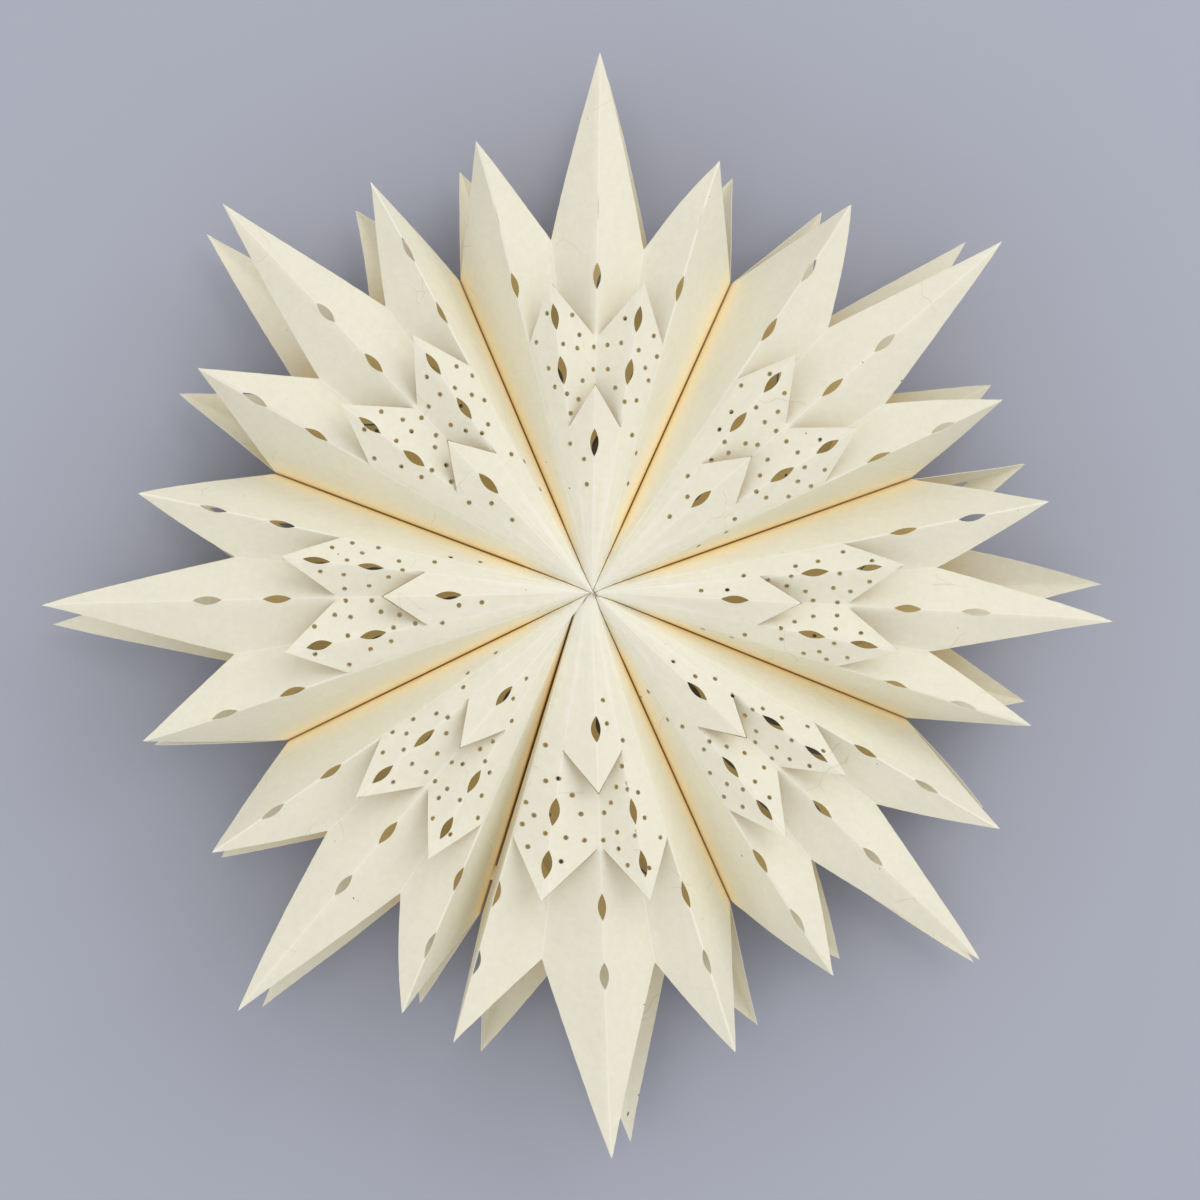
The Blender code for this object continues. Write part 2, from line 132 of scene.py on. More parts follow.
# Where each unit's lens nearest the centre lies, and how far its inner slit is out of place
ROOF_LENSES = (80.5, 80.5, 83.3, 83.9, 80.6, 76.4, 76.6, 80.4)
ROOF_SLIT_SHIFTS = (0.0, 0.0, -1.0, 0.0, 0.0, -3.0, -4.5, 1.5)

# How each unit's point is pulled aside and up where the points are pinched together, as
# (along X, along Y, up), out to PINCH_REACH from the fold axis
PINCH_REACH = 17.0
EDGE_CURL = 1.1  # how far a unit's long edges curl up there
PINCHES = (
    (2.0, -1.2, 0.6), (0.6, 0.6, -0.2), (0.2, 0.4, 0.4), (2.4, -2.6, 2.0),
    (1.6, -0.8, 1.3), (-1.4, 0.9, 0.7), (0.8, -1.6, -0.8), (2.6, -2.4, -0.3),
)  # fmt: skip

# The seams, each named by the unit before it
SEAM_LEANS = (-2.9, -1.7, 0.5, 1.9, 3.5, 5.4, 1.6, 0.6)
CLOSING_SEAM = 5
CLOSING_OFFSET = -6.4  # how far the open seam passes beside the fold axis
PINCH = 2.0  # near the axis nothing keeps off its seam by more than the radius over this
CROWDING = 0.15  # how fast the open seam widens beyond CROWDED_WITHIN
CROWDED_WITHIN = 4.0
LEANING_SHARE = 0.28  # share of its clearance that a fold beside the open seam keeps
LEANING_DEPTH = 8.0  # depth below the fold that adds a whole to that share
SHADED_LIP = 1.3  # width of paper beside the open seam that is painted brown as shade

# How far the pushed-out flaps' edges lift, and the length of paper that bends for it
FLAP_LIFT, FLAP_BEND = 1.3, 16.0
ROOF_LIFT, ROOF_BEND = 0.4, 14.0
TIP_CURL = 34.0  # length of a tip that curls
TIP_LIFTS = (-2.5, 1.5)  # least and most that a tip's end is lifted, and moved aside
TIP_SWAYS = (-1.2, 1.2)

# Cutting by hand
CUT_WANDER = 0.09  # how far a cut strays from its line
CUT_BOW = 1.5  # a long cut bows out by up to this
LONG_CUT = (60, 120)  # lengths between which a cut counts as long

# The points between a blank's lines, in rows of even triangles
ROW_RISE = 0.866
GRAIN_START = -20.0  # the rows begin behind the fold axis
CLEAR_SHARE = 0.42  # how far off a line a point keeps, as a share of the step

# Where the painted shade and painted glow of a seam lie
SEAM_REACH = 24.0  # how far it reaches over the paper beside the fold
SHADE_START = 4.0  # radius at which it begins
WALL_SHADE_RUN = 6.0  # length over which it comes in on the wall, and on the paper beside
PAPER_SHADE_RUN = 40.0
CREASE_HIGHLIGHT = 0.8  # width of the painted highlight beside a crease
HOLLOW_END, HOLLOW_FADE = 227.0, 50.0  # how far out a sheet still backs on to a shut hollow, where its inner face gets painted shade and painted glow

# Each unit and each face is cut from another part of the pulp, this many metres away
PULP_APART = (0.9, 1.3)
FAN_ACROSS, FAN_ALONG = 0.12, 0.06  # scale of the gathered creases across and along a sheet
FAN_APART = (0.7, 0.3)

# Swells of the dried paper: where they come in, and their size in metres
WAVES_START, WAVES_RUN = 25.0, 40.0
WAVE_SIZE = 0.048

LEAD_FOLD = "fold_upper_left"
LEAD_JOINT = next(joint for joint in frame["joints"] if joint["name"] == LEAD_FOLD)
FOLD_AXIS = Vector(LEAD_JOINT["pos_m"]).to_2d() / MM

# Studio, in metres. Each light is (name, power setting, size, place).
CAMERA_OFFSET = (0.0044, -0.0044)  # of the camera from the fold axis
FLOOR_SIZE = 8.0
LIGHTS = (
    ("main_light", "key_power", 3.0, (1.9, 2.0, 2.3)),
    ("fill_light", "fill_power", 2.5, (-1.8, -1.5, 2.2)),
)
LIGHT_COLOUR = (1.0, 0.985, 0.985)
ROOM_COLOUR = (0.97, 0.985, 1.0)
LIGHTS_AIM = Vector((0.0, 0.0, 0.06))

BLACK = (0.0, 0.0, 0.0, 1.0)

Boundary = namedtuple("Boundary", "azimuth offset clearance")
Folds = namedtuple("Folds", "outer pushed roof")


# ---------------------------------------------------------------- settings


class StarPaperSettings(bpy.types.PropertyGroup):
    """Sizes and colours of the handmade paper."""

    thickness: FloatProperty(
        name="Thickness", description="Thickness of the paper", default=0.0003, unit="LENGTH"
    )
    grain: FloatProperty(
        name="Mesh grain", description="Spacing of the points that a sheet is modelled with",
        default=0.003, unit="LENGTH",
    )
    crease: FloatProperty(
        name="Crease width", description="Half the width over which a fold is rounded",
        default=0.0008, unit="LENGTH",
    )
    waviness: FloatProperty(
        name="Waviness", description="How far the dried paper swells out of flat",
        default=0.0005, unit="LENGTH",
    )
    dot: FloatProperty(
        name="Punched dot", description="Diameter of a punched dot", default=0.0024, unit="LENGTH"
    )
    # Painted shade: a dark ring round each punched dot stands in for the shadow of its cut edge
    dot_shade: FloatProperty(
        name="Burr", description="Width of the dark burr round a punched dot", default=0.0005,
        unit="LENGTH",
    )
    seed: IntProperty(name="Seed", description="Seed of the handmade unevenness", default=11)
    colour: FloatVectorProperty(
        name="Paper", description="Colour of the cotton paper", subtype="COLOR",
        default=(0.86, 0.82, 0.67), min=0.0, max=1.0,
    )
    # Painted shade: the paper is made warmer and darker towards the seams, for the shade and warm bounced light
    # deep in the folds
    seam_shade: FloatVectorProperty(
        name="Seam tint", description="Warm tint of the paper near the seams", subtype="COLOR",
        default=(1.0, 0.86, 0.55), min=0.0, max=1.0,
    )
    # Painted glow: an emission beside the seams stands in for light that comes through the paper
    seam_glow: FloatVectorProperty(
        name="Light by the seams", description="Light that comes through the paper near a seam",
        subtype="COLOR", default=(0.22, 0.158, 0.084), min=0.0, max=1.0,
    )
    # Painted shade: the inner face is darkened brown deep in the hollows, where it lies in shade
    hollow_shade: FloatVectorProperty(
        name="Inner face", description="Colour of the inner face, seen through the holes",
        subtype="COLOR", default=(0.56, 0.47, 0.29), min=0.0, max=1.0,
    )
    # Painted glow: an emission on the inner face deep in the hollows stands in for light that comes through the
    # paper
    hollow_glow: FloatVectorProperty(
        name="Light through the paper", description="Light that comes through into the hollows",
        subtype="COLOR", default=(0.135, 0.100, 0.040), min=0.0, max=1.0,
    )
    # Painted shade: the walls of a seam, and a lip beside the open seam, are darkened brown for the shade deep in
    # the gap
    wall_shade: FloatVectorProperty(
        name="Wall tint", description="Tint of the two walls of a seam", subtype="COLOR",
        default=(0.56, 0.44, 0.28), min=0.0, max=1.0,
    )
    # Painted glow: an emission on the walls of a seam stands in for light that comes through them
    wall_glow: FloatVectorProperty(
        name="Light in the seams", description="Light that comes through the two walls of a seam",
        subtype="COLOR", default=(0.10, 0.060, 0.016), min=0.0, max=1.0,
    )


class StarCardSettings(bpy.types.PropertyGroup):
    """Colour of the stiff card."""

    colour: FloatVectorProperty(
        name="Card", description="Colour of the brown card", subtype="COLOR",
        default=(0.42, 0.26, 0.12), min=0.0, max=1.0,
    )


class StarStageSettings(bpy.types.PropertyGroup):
    """The floor, the lights and the camera."""

    floor: FloatVectorProperty(
        name="Floor", description="Colour of the floor", subtype="COLOR",
        default=(0.415, 0.427, 0.503), min=0.0, max=1.0,
    )
    key_power: FloatProperty(
        name="Main light", description="Power of the large soft light", default=43.0, unit="POWER"
    )
    fill_power: FloatProperty(
        name="Fill light", description="Power of the soft light opposite", default=9.0, unit="POWER"
    )
    room: FloatProperty(name="Room light", description="Light from all round", default=0.79)
    lens: FloatProperty(
        name="Lens", description="Focal length of the camera", default=190.0, unit="CAMERA"
    )
    height: FloatProperty(
        name="Camera height", description="Height of the camera above the floor", default=3.625,
        unit="LENGTH",
    )


# ---------------------------------------------------------------- the flat blank


def ray(azimuth_deg, rise_deg):
    """Unit vector at this azimuth, rising this far above the apex's level."""
    a, e = math.radians(azimuth_deg), math.radians(rise_deg)
    return Vector((math.cos(a) * math.cos(e), math.sin(a) * math.cos(e), math.sin(e)))


def polar(radius, angle):
    """Flat place at this radius and angle."""
    return Vector((radius * math.cos(angle), radius * math.sin(angle)))


SEAM_DROP = math.degrees(math.atan2(HALF_DEPTH - MIDDLE_GAP / 2, SEAM_END))
RIDGE_TURN = SIDE_TIP_TURN * RIDGE_SHARE
FLAT_VALLEY = ray(0, 0).angle(ray(SIDE_TIP_TURN * VALLEY_SHARE, -PLEAT_RISE))
FLAT_SIDE = FLAT_VALLEY + ray(SIDE_TIP_TURN * VALLEY_SHARE, -PLEAT_RISE).angle(ray(SIDE_TIP_TURN, 0))
FLAT_RIDGE = ray(0, 0).angle(ray(RIDGE_TURN, PLEAT_RISE))
FLAT_SEAM = FLAT_SIDE + ray(SIDE_TIP_TURN, 0).angle(ray(UNIT_PITCH / 2, -SEAM_DROP))
FLAT_AXIS = FLAT_SEAM + math.radians(90 - SEAM_DROP)
FLAT_BRIDGE = BRIDGE / 2 / SLIT_BRIDGE


def wall_point(radius, height):
    """Flat-blank place of the side wall's point at this radius and height above the middle."""
    down = HALF_DEPTH - height
    angle = FLAT_SEAM + math.atan2(down, radius) - math.radians(SEAM_DROP)
    return math.hypot(radius, down), angle


def seam_height(radius):
    """Height of the seam's fold above the middle at this radius."""
    return HALF_DEPTH - radius * math.tan(math.radians(SEAM_DROP))


def half_outline(centre_extra, side_extra):
    """Blank's outline as (distance, angle), from the long tip round one side to the centre."""
    return [
        (CENTRE_TIP + centre_extra, 0.0),
        (NOTCH + (centre_extra + side_extra) / 2, FLAT_VALLEY),
        (SIDE_TIP + side_extra, FLAT_SIDE),
        wall_point(SEAM_END, MIDDLE_GAP / 2),
        wall_point(WALL_START, MIDDLE_GAP / 2),
        wall_point(WALL_START, seam_height(WALL_START)),
        (CENTRE_HOLE, FLAT_SEAM),
        (CENTRE_HOLE, FLAT_SIDE),
        (CENTRE_HOLE, FLAT_RIDGE),
        (CENTRE_HOLE, 0.0),
    ]


def crossing(angle, start, end):
    """Distance at which a ray at this angle crosses the straight cut from start to end."""
    (r0, a0), (r1, a1) = start, end
    return r0 * r1 * math.sin(a1 - a0) / (r0 * math.sin(angle - a0) + r1 * math.sin(a1 - angle))


def slit_distance(angle):
    """Distance of the outer slits at this angle from the middle fold."""
    if angle <= FLAT_BRIDGE:
        return SLIT_BRIDGE
    if angle <= FLAT_RIDGE:
        return crossing(angle, (SLIT_BRIDGE, FLAT_BRIDGE), (SLIT_TIP, FLAT_RIDGE))
    return crossing(angle, (SLIT_TIP, FLAT_RIDGE), (SLIT_SIDE_END, FLAT_SIDE))


def roof_distance(angle, shift):
    """Distance of the inner slit at this angle, on a unit whose slit is shifted by this much."""
    return crossing(angle, (ROOF_SLIT_TIP + shift, 0.0), (ROOF_SLIT_END + shift, FLAT_RIDGE))


def counter_clockwise(loop):
    """The loop, turned round if it runs clockwise."""
    area = sum(a.cross(b) for a, b in zip(loop, loop[1:] + loop[:1]))
    return loop if area > 0 else loop[::-1]


def stepped(corners, step, rough, bow, chance):
    """A closed loop through the corners in even steps. The cut wanders by up to rough, and a long
    cut bows out by up to bow."""
    loop = []
    for start, end in zip(corners, corners[1:] + corners[:1]):
        run = end - start
        count = max(1, round(run.length / step))
        beside = Vector((-run.y, run.x)).normalized() if run.length > 1e-6 else Vector((0, 0))
        long_cut = LONG_CUT[0] < run.length < LONG_CUT[1]
        belly = -bow * chance.uniform(-0.25, 1.0) if long_cut else 0.0
        for i in range(count):
            wander = chance.uniform(-rough, rough) if i else 0.0
            wander += belly * math.sin(math.pi * i / count)
            loop.append(start + run * (i / count) + beside * wander)
    return loop


def slit_loops(step, roof_shift, chance):
    """The two outer slits and the inner one, as narrow closed loops."""
    half = SLIT_WIDTH / 2
    runs = [
        [(SLIT_SIDE_END, s * FLAT_SIDE), (SLIT_TIP, s * FLAT_RIDGE), (SLIT_BRIDGE, s * FLAT_BRIDGE)]
        for s in (1, -1)
    ]
    roof_end, roof_tip = ROOF_SLIT_END + roof_shift, ROOF_SLIT_TIP + roof_shift
    runs.append([(roof_end, FLAT_RIDGE), (roof_tip, 0.0), (roof_end, -FLAT_RIDGE)])
    loops = []
    for run in runs:
        far = [polar(r + half, a) for r, a in run]
        near = [polar(r - half, a) for r, a in reversed(run)]
        loops.append(stepped(far + near, step, 0.0, 0.0, chance))
    return loops


def lens_loop(distance, angle, width, chance):
    """A lens-shaped cut-out lying along a fold."""
    along = polar(1.0, angle)
    across = Vector((-along.y, along.x))
    length = LENS_LENGTH * chance.uniform(0.93, 1.05)
    shift = chance.uniform(-0.5, 0.5)
    places = [-0.5 + i / 8 for i in range(1, 8)]
    side = [(x, 0.5 * (1 - abs(2 * x) ** 1.9)) for x in places]
    shape = [(-0.5, 0.0)] + side + [(0.5, 0.0)] + [(x, -y) for x, y in reversed(side)]
    return [along * (distance + shift + x * length) + across * y * width for x, y in shape]


def dot_loop(centre, diameter, chance):
    """A punched dot, a little out of round, some with a scrap of paper left at one side."""
    points = []
    corners = 11
    turn = chance.uniform(0, math.tau)
    squash = chance.uniform(0.82, 1.0)
    scrap = chance.random() < 0.22
    for i in range(corners):
        a = math.tau * i / corners + turn
        radius = diameter / 2 * chance.uniform(0.94, 1.05)
        if scrap and i in (0, 1):
            radius *= 0.45
        points.append(centre + Vector((math.cos(a), squash * math.sin(a))) * radius)
    return points


def flat_angle(turn_deg):
    """Flat angle of the paper that ends up at this turn from the middle fold."""
    turn = abs(turn_deg)
    if turn <= RIDGE_TURN:
        angle = turn / RIDGE_TURN * FLAT_RIDGE
    elif turn <= SIDE_TIP_TURN:
        share = (turn - RIDGE_TURN) / (SIDE_TIP_TURN - RIDGE_TURN)
        angle = FLAT_RIDGE + share * (FLAT_SIDE - FLAT_RIDGE)
    else:
        share = (turn - SIDE_TIP_TURN) / (UNIT_PITCH / 2 - SIDE_TIP_TURN)
        angle = FLAT_SIDE + share * (FLAT_SEAM - FLAT_SIDE)
    return math.copysign(angle, turn_deg)


def hole_loops(unit_index, paper, chance):
    """Lens-shaped cut-outs and punched dots of one sheet, and the middles of the dots."""
    places = [(r, 0.0) for r in (ROOF_LENSES[unit_index], *MIDDLE_LENSES)]
    for side in (1, -1):
        places += [(r, side * FLAT_RIDGE) for r in RIDGE_LENSES]
        places += [(r, side * FLAT_SIDE) for r in SIDE_LENSES]
    loops = []
    for distance, angle in places:
        hardly_cut = distance > 200 and UNITS[unit_index].name == "top"
        width = 0.7 if hardly_cut else LENS_WIDTH * chance.uniform(0.92, 1.06)
        loops.append(lens_loop(distance, angle, width, chance))
    centres = []
    for turn, distance in PUNCHED_DOTS:
        centre = polar(distance + chance.gauss(0, 0.7), flat_angle(turn) + chance.gauss(0, 0.004))
        centres.append(centre)
        loops.append(dot_loop(centre, paper.dot / MM, chance))
    return loops, centres


def dot_shade_edge(centre, paper):
    """A closed run of points round a dot, at the outer edge of its ring of painted shade."""
    turns = [math.tau * i / 10 for i in range(11)]
    return [centre + polar((paper.dot / 2 + paper.dot_shade) / MM, turn) for turn in turns]


def placed_points(points):
    """A search tree of flat points."""
    tree = KDTree(len(points))
    for i, p in enumerate(points):
        tree.insert((p.x, p.y, 0.0), i)
    tree.balance()
    return tree


def crease_half_width(distance, paper):
    """Half the width over which a fold is rounded, narrower where the folds crowd together."""
    return min(paper.crease / MM, distance * 0.025)


def fold_runs(halves, paper):
    """The fold lines of the blank, each as points with a line of points close on both sides."""
    wall_top, _ = wall_point(WALL_START, seam_height(WALL_START))
    seam_end, _ = wall_point(SEAM_END, MIDDLE_GAP / 2)
    spans = [(CENTRE_HOLE, halves[1][0][0], 0.0)]
    for s, (_, notch, side_tip, *_) in halves.items():
        spans.append((CENTRE_HOLE, SLIT_TIP, s * FLAT_RIDGE))
        spans.append((slit_distance(FLAT_VALLEY), notch[0], s * FLAT_VALLEY))
        spans.append((CENTRE_HOLE, side_tip[0], s * FLAT_SIDE))
        spans.append((wall_top, seam_end, s * FLAT_SEAM))
    runs = []
    for start, end, angle in spans:
        count = max(2, round((end - start) / (paper.grain / MM)))
        distances = [start + (end - start) * i / count for i in range(count + 1)]
        for side in (-1, 0, 1):
            turns = [side * crease_half_width(r, paper) / r for r in distances]
            runs.append([polar(r, angle + turn) for r, turn in zip(distances, turns)])
    return runs


def grain_points(reach, step, tree, chance):
    """Points in staggered rows over the blank, clear of the lines that the tree holds."""
    points = []
    half_width, stray = CENTRE_TIP * 0.8, 0.4
    for row in range(int(CENTRE_TIP * 2 / (step * ROW_RISE)) + 1):
        y = -half_width + row * step * ROW_RISE
        if abs(y) > half_width:
            continue
        for column in range(int(CENTRE_TIP * 1.2 / step)):
            x = GRAIN_START + (column + 0.5 * (row % 2)) * step
            if math.hypot(x, y) > reach:
                continue
            p = Vector((x + chance.uniform(-stray, stray), y + chance.uniform(-stray, stray)))
            if tree.find((p.x, p.y, 0.0))[2] > step * CLEAR_SHARE:
                points.append(p)
    return points


def blank_mesh(unit_index, extras, paper, chance):
    """Flat points and triangles of one cut and punched blank, its tips this much longer, and a
    search tree of its dots."""
    step = paper.grain / MM
    low, centre, high = extras
    halves = {1: half_outline(centre, high), -1: half_outline(centre, low)}
    corners = [polar(r, a) for r, a in halves[1]]
    corners += [polar(r, -a) for r, a in reversed(halves[-1][1:-1])]
    loops = [stepped(corners, step, CUT_WANDER, CUT_BOW, chance)]
    loops += slit_loops(step, ROOF_SLIT_SHIFTS[unit_index], chance)
    holes, centres = hole_loops(unit_index, paper, chance)
    loops += holes
    points, faces, edges = [], [], []
    for loop in loops:
        faces.append(list(range(len(points), len(points) + len(loop))))
        points += counter_clockwise(loop)
    for run in fold_runs(halves, paper) + [dot_shade_edge(c, paper) for c in centres]:
        edges += [(len(points) + i, len(points) + i + 1) for i in range(len(run) - 1)]
        points += run
    lined = [(points[f[i]], points[f[i - 1]]) for f in faces for i in range(len(f))]
    lined += [(points[a], points[b]) for a, b in edges]
    near = []
    for a, b in lined:
        count = max(1, math.ceil((b - a).length / 1.0))
        near += [a.lerp(b, i / count) for i in range(count)]
    points += grain_points(CENTRE_TIP + centre, step, placed_points(near), chance)
    # A triangle of the outline alone is paper; one that lies in a hole or a slit too is waste.
    flat, _, triangles, _, _, sources = delaunay_2d_cdt(points, edges, faces, 1, 0.002)
    kept = [t for t, source in zip(triangles, sources) if source == [0]]
    return flat, kept, placed_points(centres)


# ---------------------------------------------------------------- folding


def fold_vectors(unit_azimuth, leans, low, high):
    """Where each fold of a sheet points, as lists of (flat angle, vector) from side to side."""
    turns = (-SIDE_TIP_TURN, 0, SIDE_TIP_TURN)
    azimuths = [unit_azimuth + turn + lean for turn, lean in zip(turns, leans)]
    outer, pushed = {}, {}
    for side, at, boundary in ((1, 2, high), (-1, 0, low)):
        turn = azimuths[at] - azimuths[1]
        valley = ray(azimuths[1] + turn * VALLEY_SHARE, -PLEAT_RISE)
        ridge = ray(azimuths[1] + turn * RIDGE_SHARE, PLEAT_RISE)
        beyond = [
            (side * FLAT_SIDE, ray(azimuths[at], 0)),
            (side * FLAT_SEAM, ray(boundary.azimuth, -SEAM_DROP)),
            (side * FLAT_AXIS, Vector((0, 0, -1))),
        ]
        outer[side] = [(side * FLAT_VALLEY, valley)] + beyond
        pushed[side] = [(side * FLAT_RIDGE, ridge)] + beyond
    kinds = ((outer, 0), (pushed, 0), (pushed, ROOF_RISE))
    made = [k[-1][::-1] + [(0.0, ray(azimuths[1], rise))] + k[1] for k, rise in kinds]
    return Folds(*made), azimuths[1]


def on_facet(distance, angle, folds):
    """The folded place of a flat point, on the facet between the two folds beside it."""
    for (a0, v0), (a1, v1) in zip(folds, folds[1:]):
        if angle <= a1:
            break
    span = math.sin(a1 - a0)
    share0, share1 = math.sin(a1 - angle), math.sin(angle - a0)
    return v0 * (distance * share0 / span) + v1 * (distance * share1 / span)


def bent_up(lift, inside, bend):
    """How far paper lifts this far inside a slit, where its edge lifts and the rest bends."""
    return lift * max(0.0, 1 - inside / bend) ** 2


def folded(flat, folds, roof_shift, roof_lift, paper):
    """A flat point's place from the apex, its folds rounded and the slits' flaps pushed out."""
    distance, signed = flat.length, math.atan2(flat.y, flat.x)
    angle = abs(signed)
    lift = 0.0
    if angle <= FLAT_BRIDGE * 1.01 and abs(distance - SLIT_BRIDGE) < SLIT_WIDTH:
        ways = [folds.outer, folds.pushed]
    elif angle >= FLAT_SIDE or distance > slit_distance(angle):
        ways = [folds.outer]
    elif angle < FLAT_RIDGE and distance < roof_distance(angle, roof_shift):
        ways = [folds.roof]
        lift = bent_up(roof_lift, roof_distance(angle, roof_shift) - distance, ROOF_BEND)
    else:
        ways = [folds.pushed]
        lift = bent_up(FLAP_LIFT, slit_distance(angle) - distance, FLAP_BEND)
        lift *= min(1.0, max(0.0, distance - SLIT_BRIDGE + 4) / 14)
        if angle < FLAT_RIDGE:
            lift -= 1.0 * max(0.0, 1 - (distance - roof_distance(angle, roof_shift)) / 11) ** 2
    rounding = crease_half_width(distance, paper) / distance
    place = Vector((0.0, 0.0, 0.0))
    for way in ways:
        for turn in (-rounding, rounding):
            place += on_facet(distance, signed + turn, way)
    place /= 2 * len(ways)
    place.z += lift
    return place


def is_open(boundary):
    """Whether this is the open seam, whose walls stand off it to leave room for the covers."""
    return boundary.clearance > CARD


def boundary_azimuth(boundary, radius, way, sunk):
    """Azimuth of a side wall's middle surface at this radius, sunk this far below its fold; way is
    +1 on the high side. The folds beside the open seam lean in over the card."""
    offset = math.copysign(min(abs(boundary.offset), radius / PINCH), boundary.offset)
    closest = (min(GLUE_GAP, TIGHT_GAP + radius * GAP_OPENING) + PAPER) / 2
    clearance = min(boundary.clearance, closest)
    if is_open(boundary):
        inward = min(1.0, LEANING_SHARE + max(0.0, sunk) / LEANING_DEPTH)
        crowded = closest + max(0.0, radius - CROWDED_WITHIN) * CROWDING
        clearance = min(boundary.clearance * inward, crowded)
    clearance = min(clearance, radius / PINCH)
    turn = math.asin(offset / radius) - way * math.asin(clearance / radius)
    return boundary.azimuth + math.degrees(turn)


def fitted(place, centre_azimuth, low, high, sunk):
    """Turns a folded point about the fold axis so that the unit fits between its boundaries."""
    radius = math.hypot(place.x, place.y)
    turn = math.degrees(math.atan2(place.y, place.x)) - centre_azimuth
    turn = (turn + 180.0) % 360.0 - 180.0
    way = 1 if turn >= 0 else -1
    boundary = high if way > 0 else low
    nominal = (boundary.azimuth - centre_azimuth + 180.0) % 360.0 - 180.0
    reached = boundary_azimuth(boundary, radius, way, sunk)
    actual = (reached - centre_azimuth + 180.0) % 360.0 - 180.0
    azimuth = math.radians(centre_azimuth + turn / nominal * actual)
    return Vector((radius * math.cos(azimuth), radius * math.sin(azimuth), place.z))


def boundary_after(index):
    """The seam after a unit: its azimuth, its offset, and the clearance that a wall keeps."""
    index %= len(UNITS)
    azimuth = (index + 0.5) * UNIT_PITCH + SEAM_LEANS[index]
    if index != CLOSING_SEAM:
        return Boundary(azimuth, 0.0, (GLUE_GAP + PAPER) / 2)
    clearance = CLOSING_GAP / 2 + CARD + COVER_GLUE_GAP + PAPER / 2
    return Boundary(azimuth, CLOSING_OFFSET, clearance)


ROOF_DEPTH = HALF_DEPTH + (ROOF_SLIT_TIP - SLIT_WIDTH / 2) * ray(0, ROOF_RISE).z
ROOF_SLOPE = math.atan2(ray(0, ROOF_RISE).z - ray(0, PLEAT_RISE).z, ray(RIDGE_TURN, 0).y)
LOWEST = PAPER / 2 / math.cos(ROOF_SLOPE)  # the middle of the paper where it rests on the floor
MIDDLE_HEIGHT = ROOF_DEPTH + LOWEST


def star_point(place, face):
    """From a point about the star's middle, in millimetres, to the frame in metres."""
    return Vector(
        (place.x + FOLD_AXIS.x, place.y + FOLD_AXIS.y, face * place.z + MIDDLE_HEIGHT)
    ) * MM


def curled_tip(place, distance, angle, extras, curls):
    """A tip's last stretch, bent up or down and aside: curls is (lift, sideways) for each tip."""
    at = min(2, max(0, round(angle / FLAT_SIDE) + 1))
    length = (SIDE_TIP, CENTRE_TIP, SIDE_TIP)[at] + extras[at]
    share = max(0.0, (distance - length + TIP_CURL) / TIP_CURL)
    lift, sideways = curls[at]
    beside = Vector((-place.y, place.x, 0.0)).normalized()
    return place + (Vector((0.0, 0.0, lift)) + beside * sideways) * share * share


def pinch_pull(unit_index, angle):
    """How a unit's point is pulled at this angle of its sheet: as the unit itself in its middle,
    and as the mean of it and its neighbour at a seam, so that the two stay together."""
    neighbour = PINCHES[(unit_index + (1 if angle > 0 else -1)) % len(PINCHES)]
    share = abs(angle) / FLAT_SEAM / 2
    return [own + (other - own) * share for own, other in zip(PINCHES[unit_index], neighbour)]


def pinched(place, angle, pull):
    """The point of a unit, pulled aside at the centre, its long edges curling up there."""
    radius = math.hypot(place.x, place.y)
    near = max(0.0, 1 - radius / PINCH_REACH) ** 2
    edge = min(1.0, abs(angle) / FLAT_SEAM) ** 4
    lift = pull[2] + EDGE_CURL * edge
    return place + Vector((pull[0], pull[1], lift)) * near


def crease_nearness(distance, angle):
    """1 on a fold's line and 0 clear of it, for the painted highlight along creases."""
    near = min(abs(abs(angle) - a) for a in (0.0, FLAT_RIDGE, FLAT_VALLEY, FLAT_SIDE, FLAT_SEAM))
    return max(0.0, 1 - near * distance / CREASE_HIGHLIGHT)


def seam_nearness(distance, angle, lip):
    """1 on the seam fold and a lip of paper beside it, falling to 0 over the paper beyond: the mask of a seam's
    painted shade and painted glow.
    The painted brown shade starts nearer the centre on the wall than on the paper beside it."""
    across = (FLAT_SEAM - abs(angle)) * distance - lip
    run = WALL_SHADE_RUN if across < 0.01 else PAPER_SHADE_RUN
    fade = min(1.0, max(0.0, (distance - SHADE_START) / run))
    return fade * min(1.0, max(0.0, 1 - across / SEAM_REACH))


def shut_in(distance):
    """1 deep in a unit's hollow, falling to 0 where its tips stand in the open: the mask of the inner face's
    painted shade and painted glow.
    """
    share = min(1.0, max(0.0, (HOLLOW_END - distance) / HOLLOW_FADE))
    return share * share * (3 - 2 * share)


# ---------------------------------------------------------------- making a sheet


def clear_selection():
    """Deselects everything."""
    for piece in bpy.context.selected_objects:
        piece.select_set(False)


def make_active(piece):
    """Selects this piece alone."""
    clear_selection()
    piece.select_set(True)
    bpy.context.view_layer.objects.active = piece


def body_holding(node):
    """The frame's body that a node belongs to."""
    for body, members in frame["record"]["behaviour"]["bodies"].items():
        if node in members:
            return body
    raise RuntimeError(f"no body of the frame holds {node}")


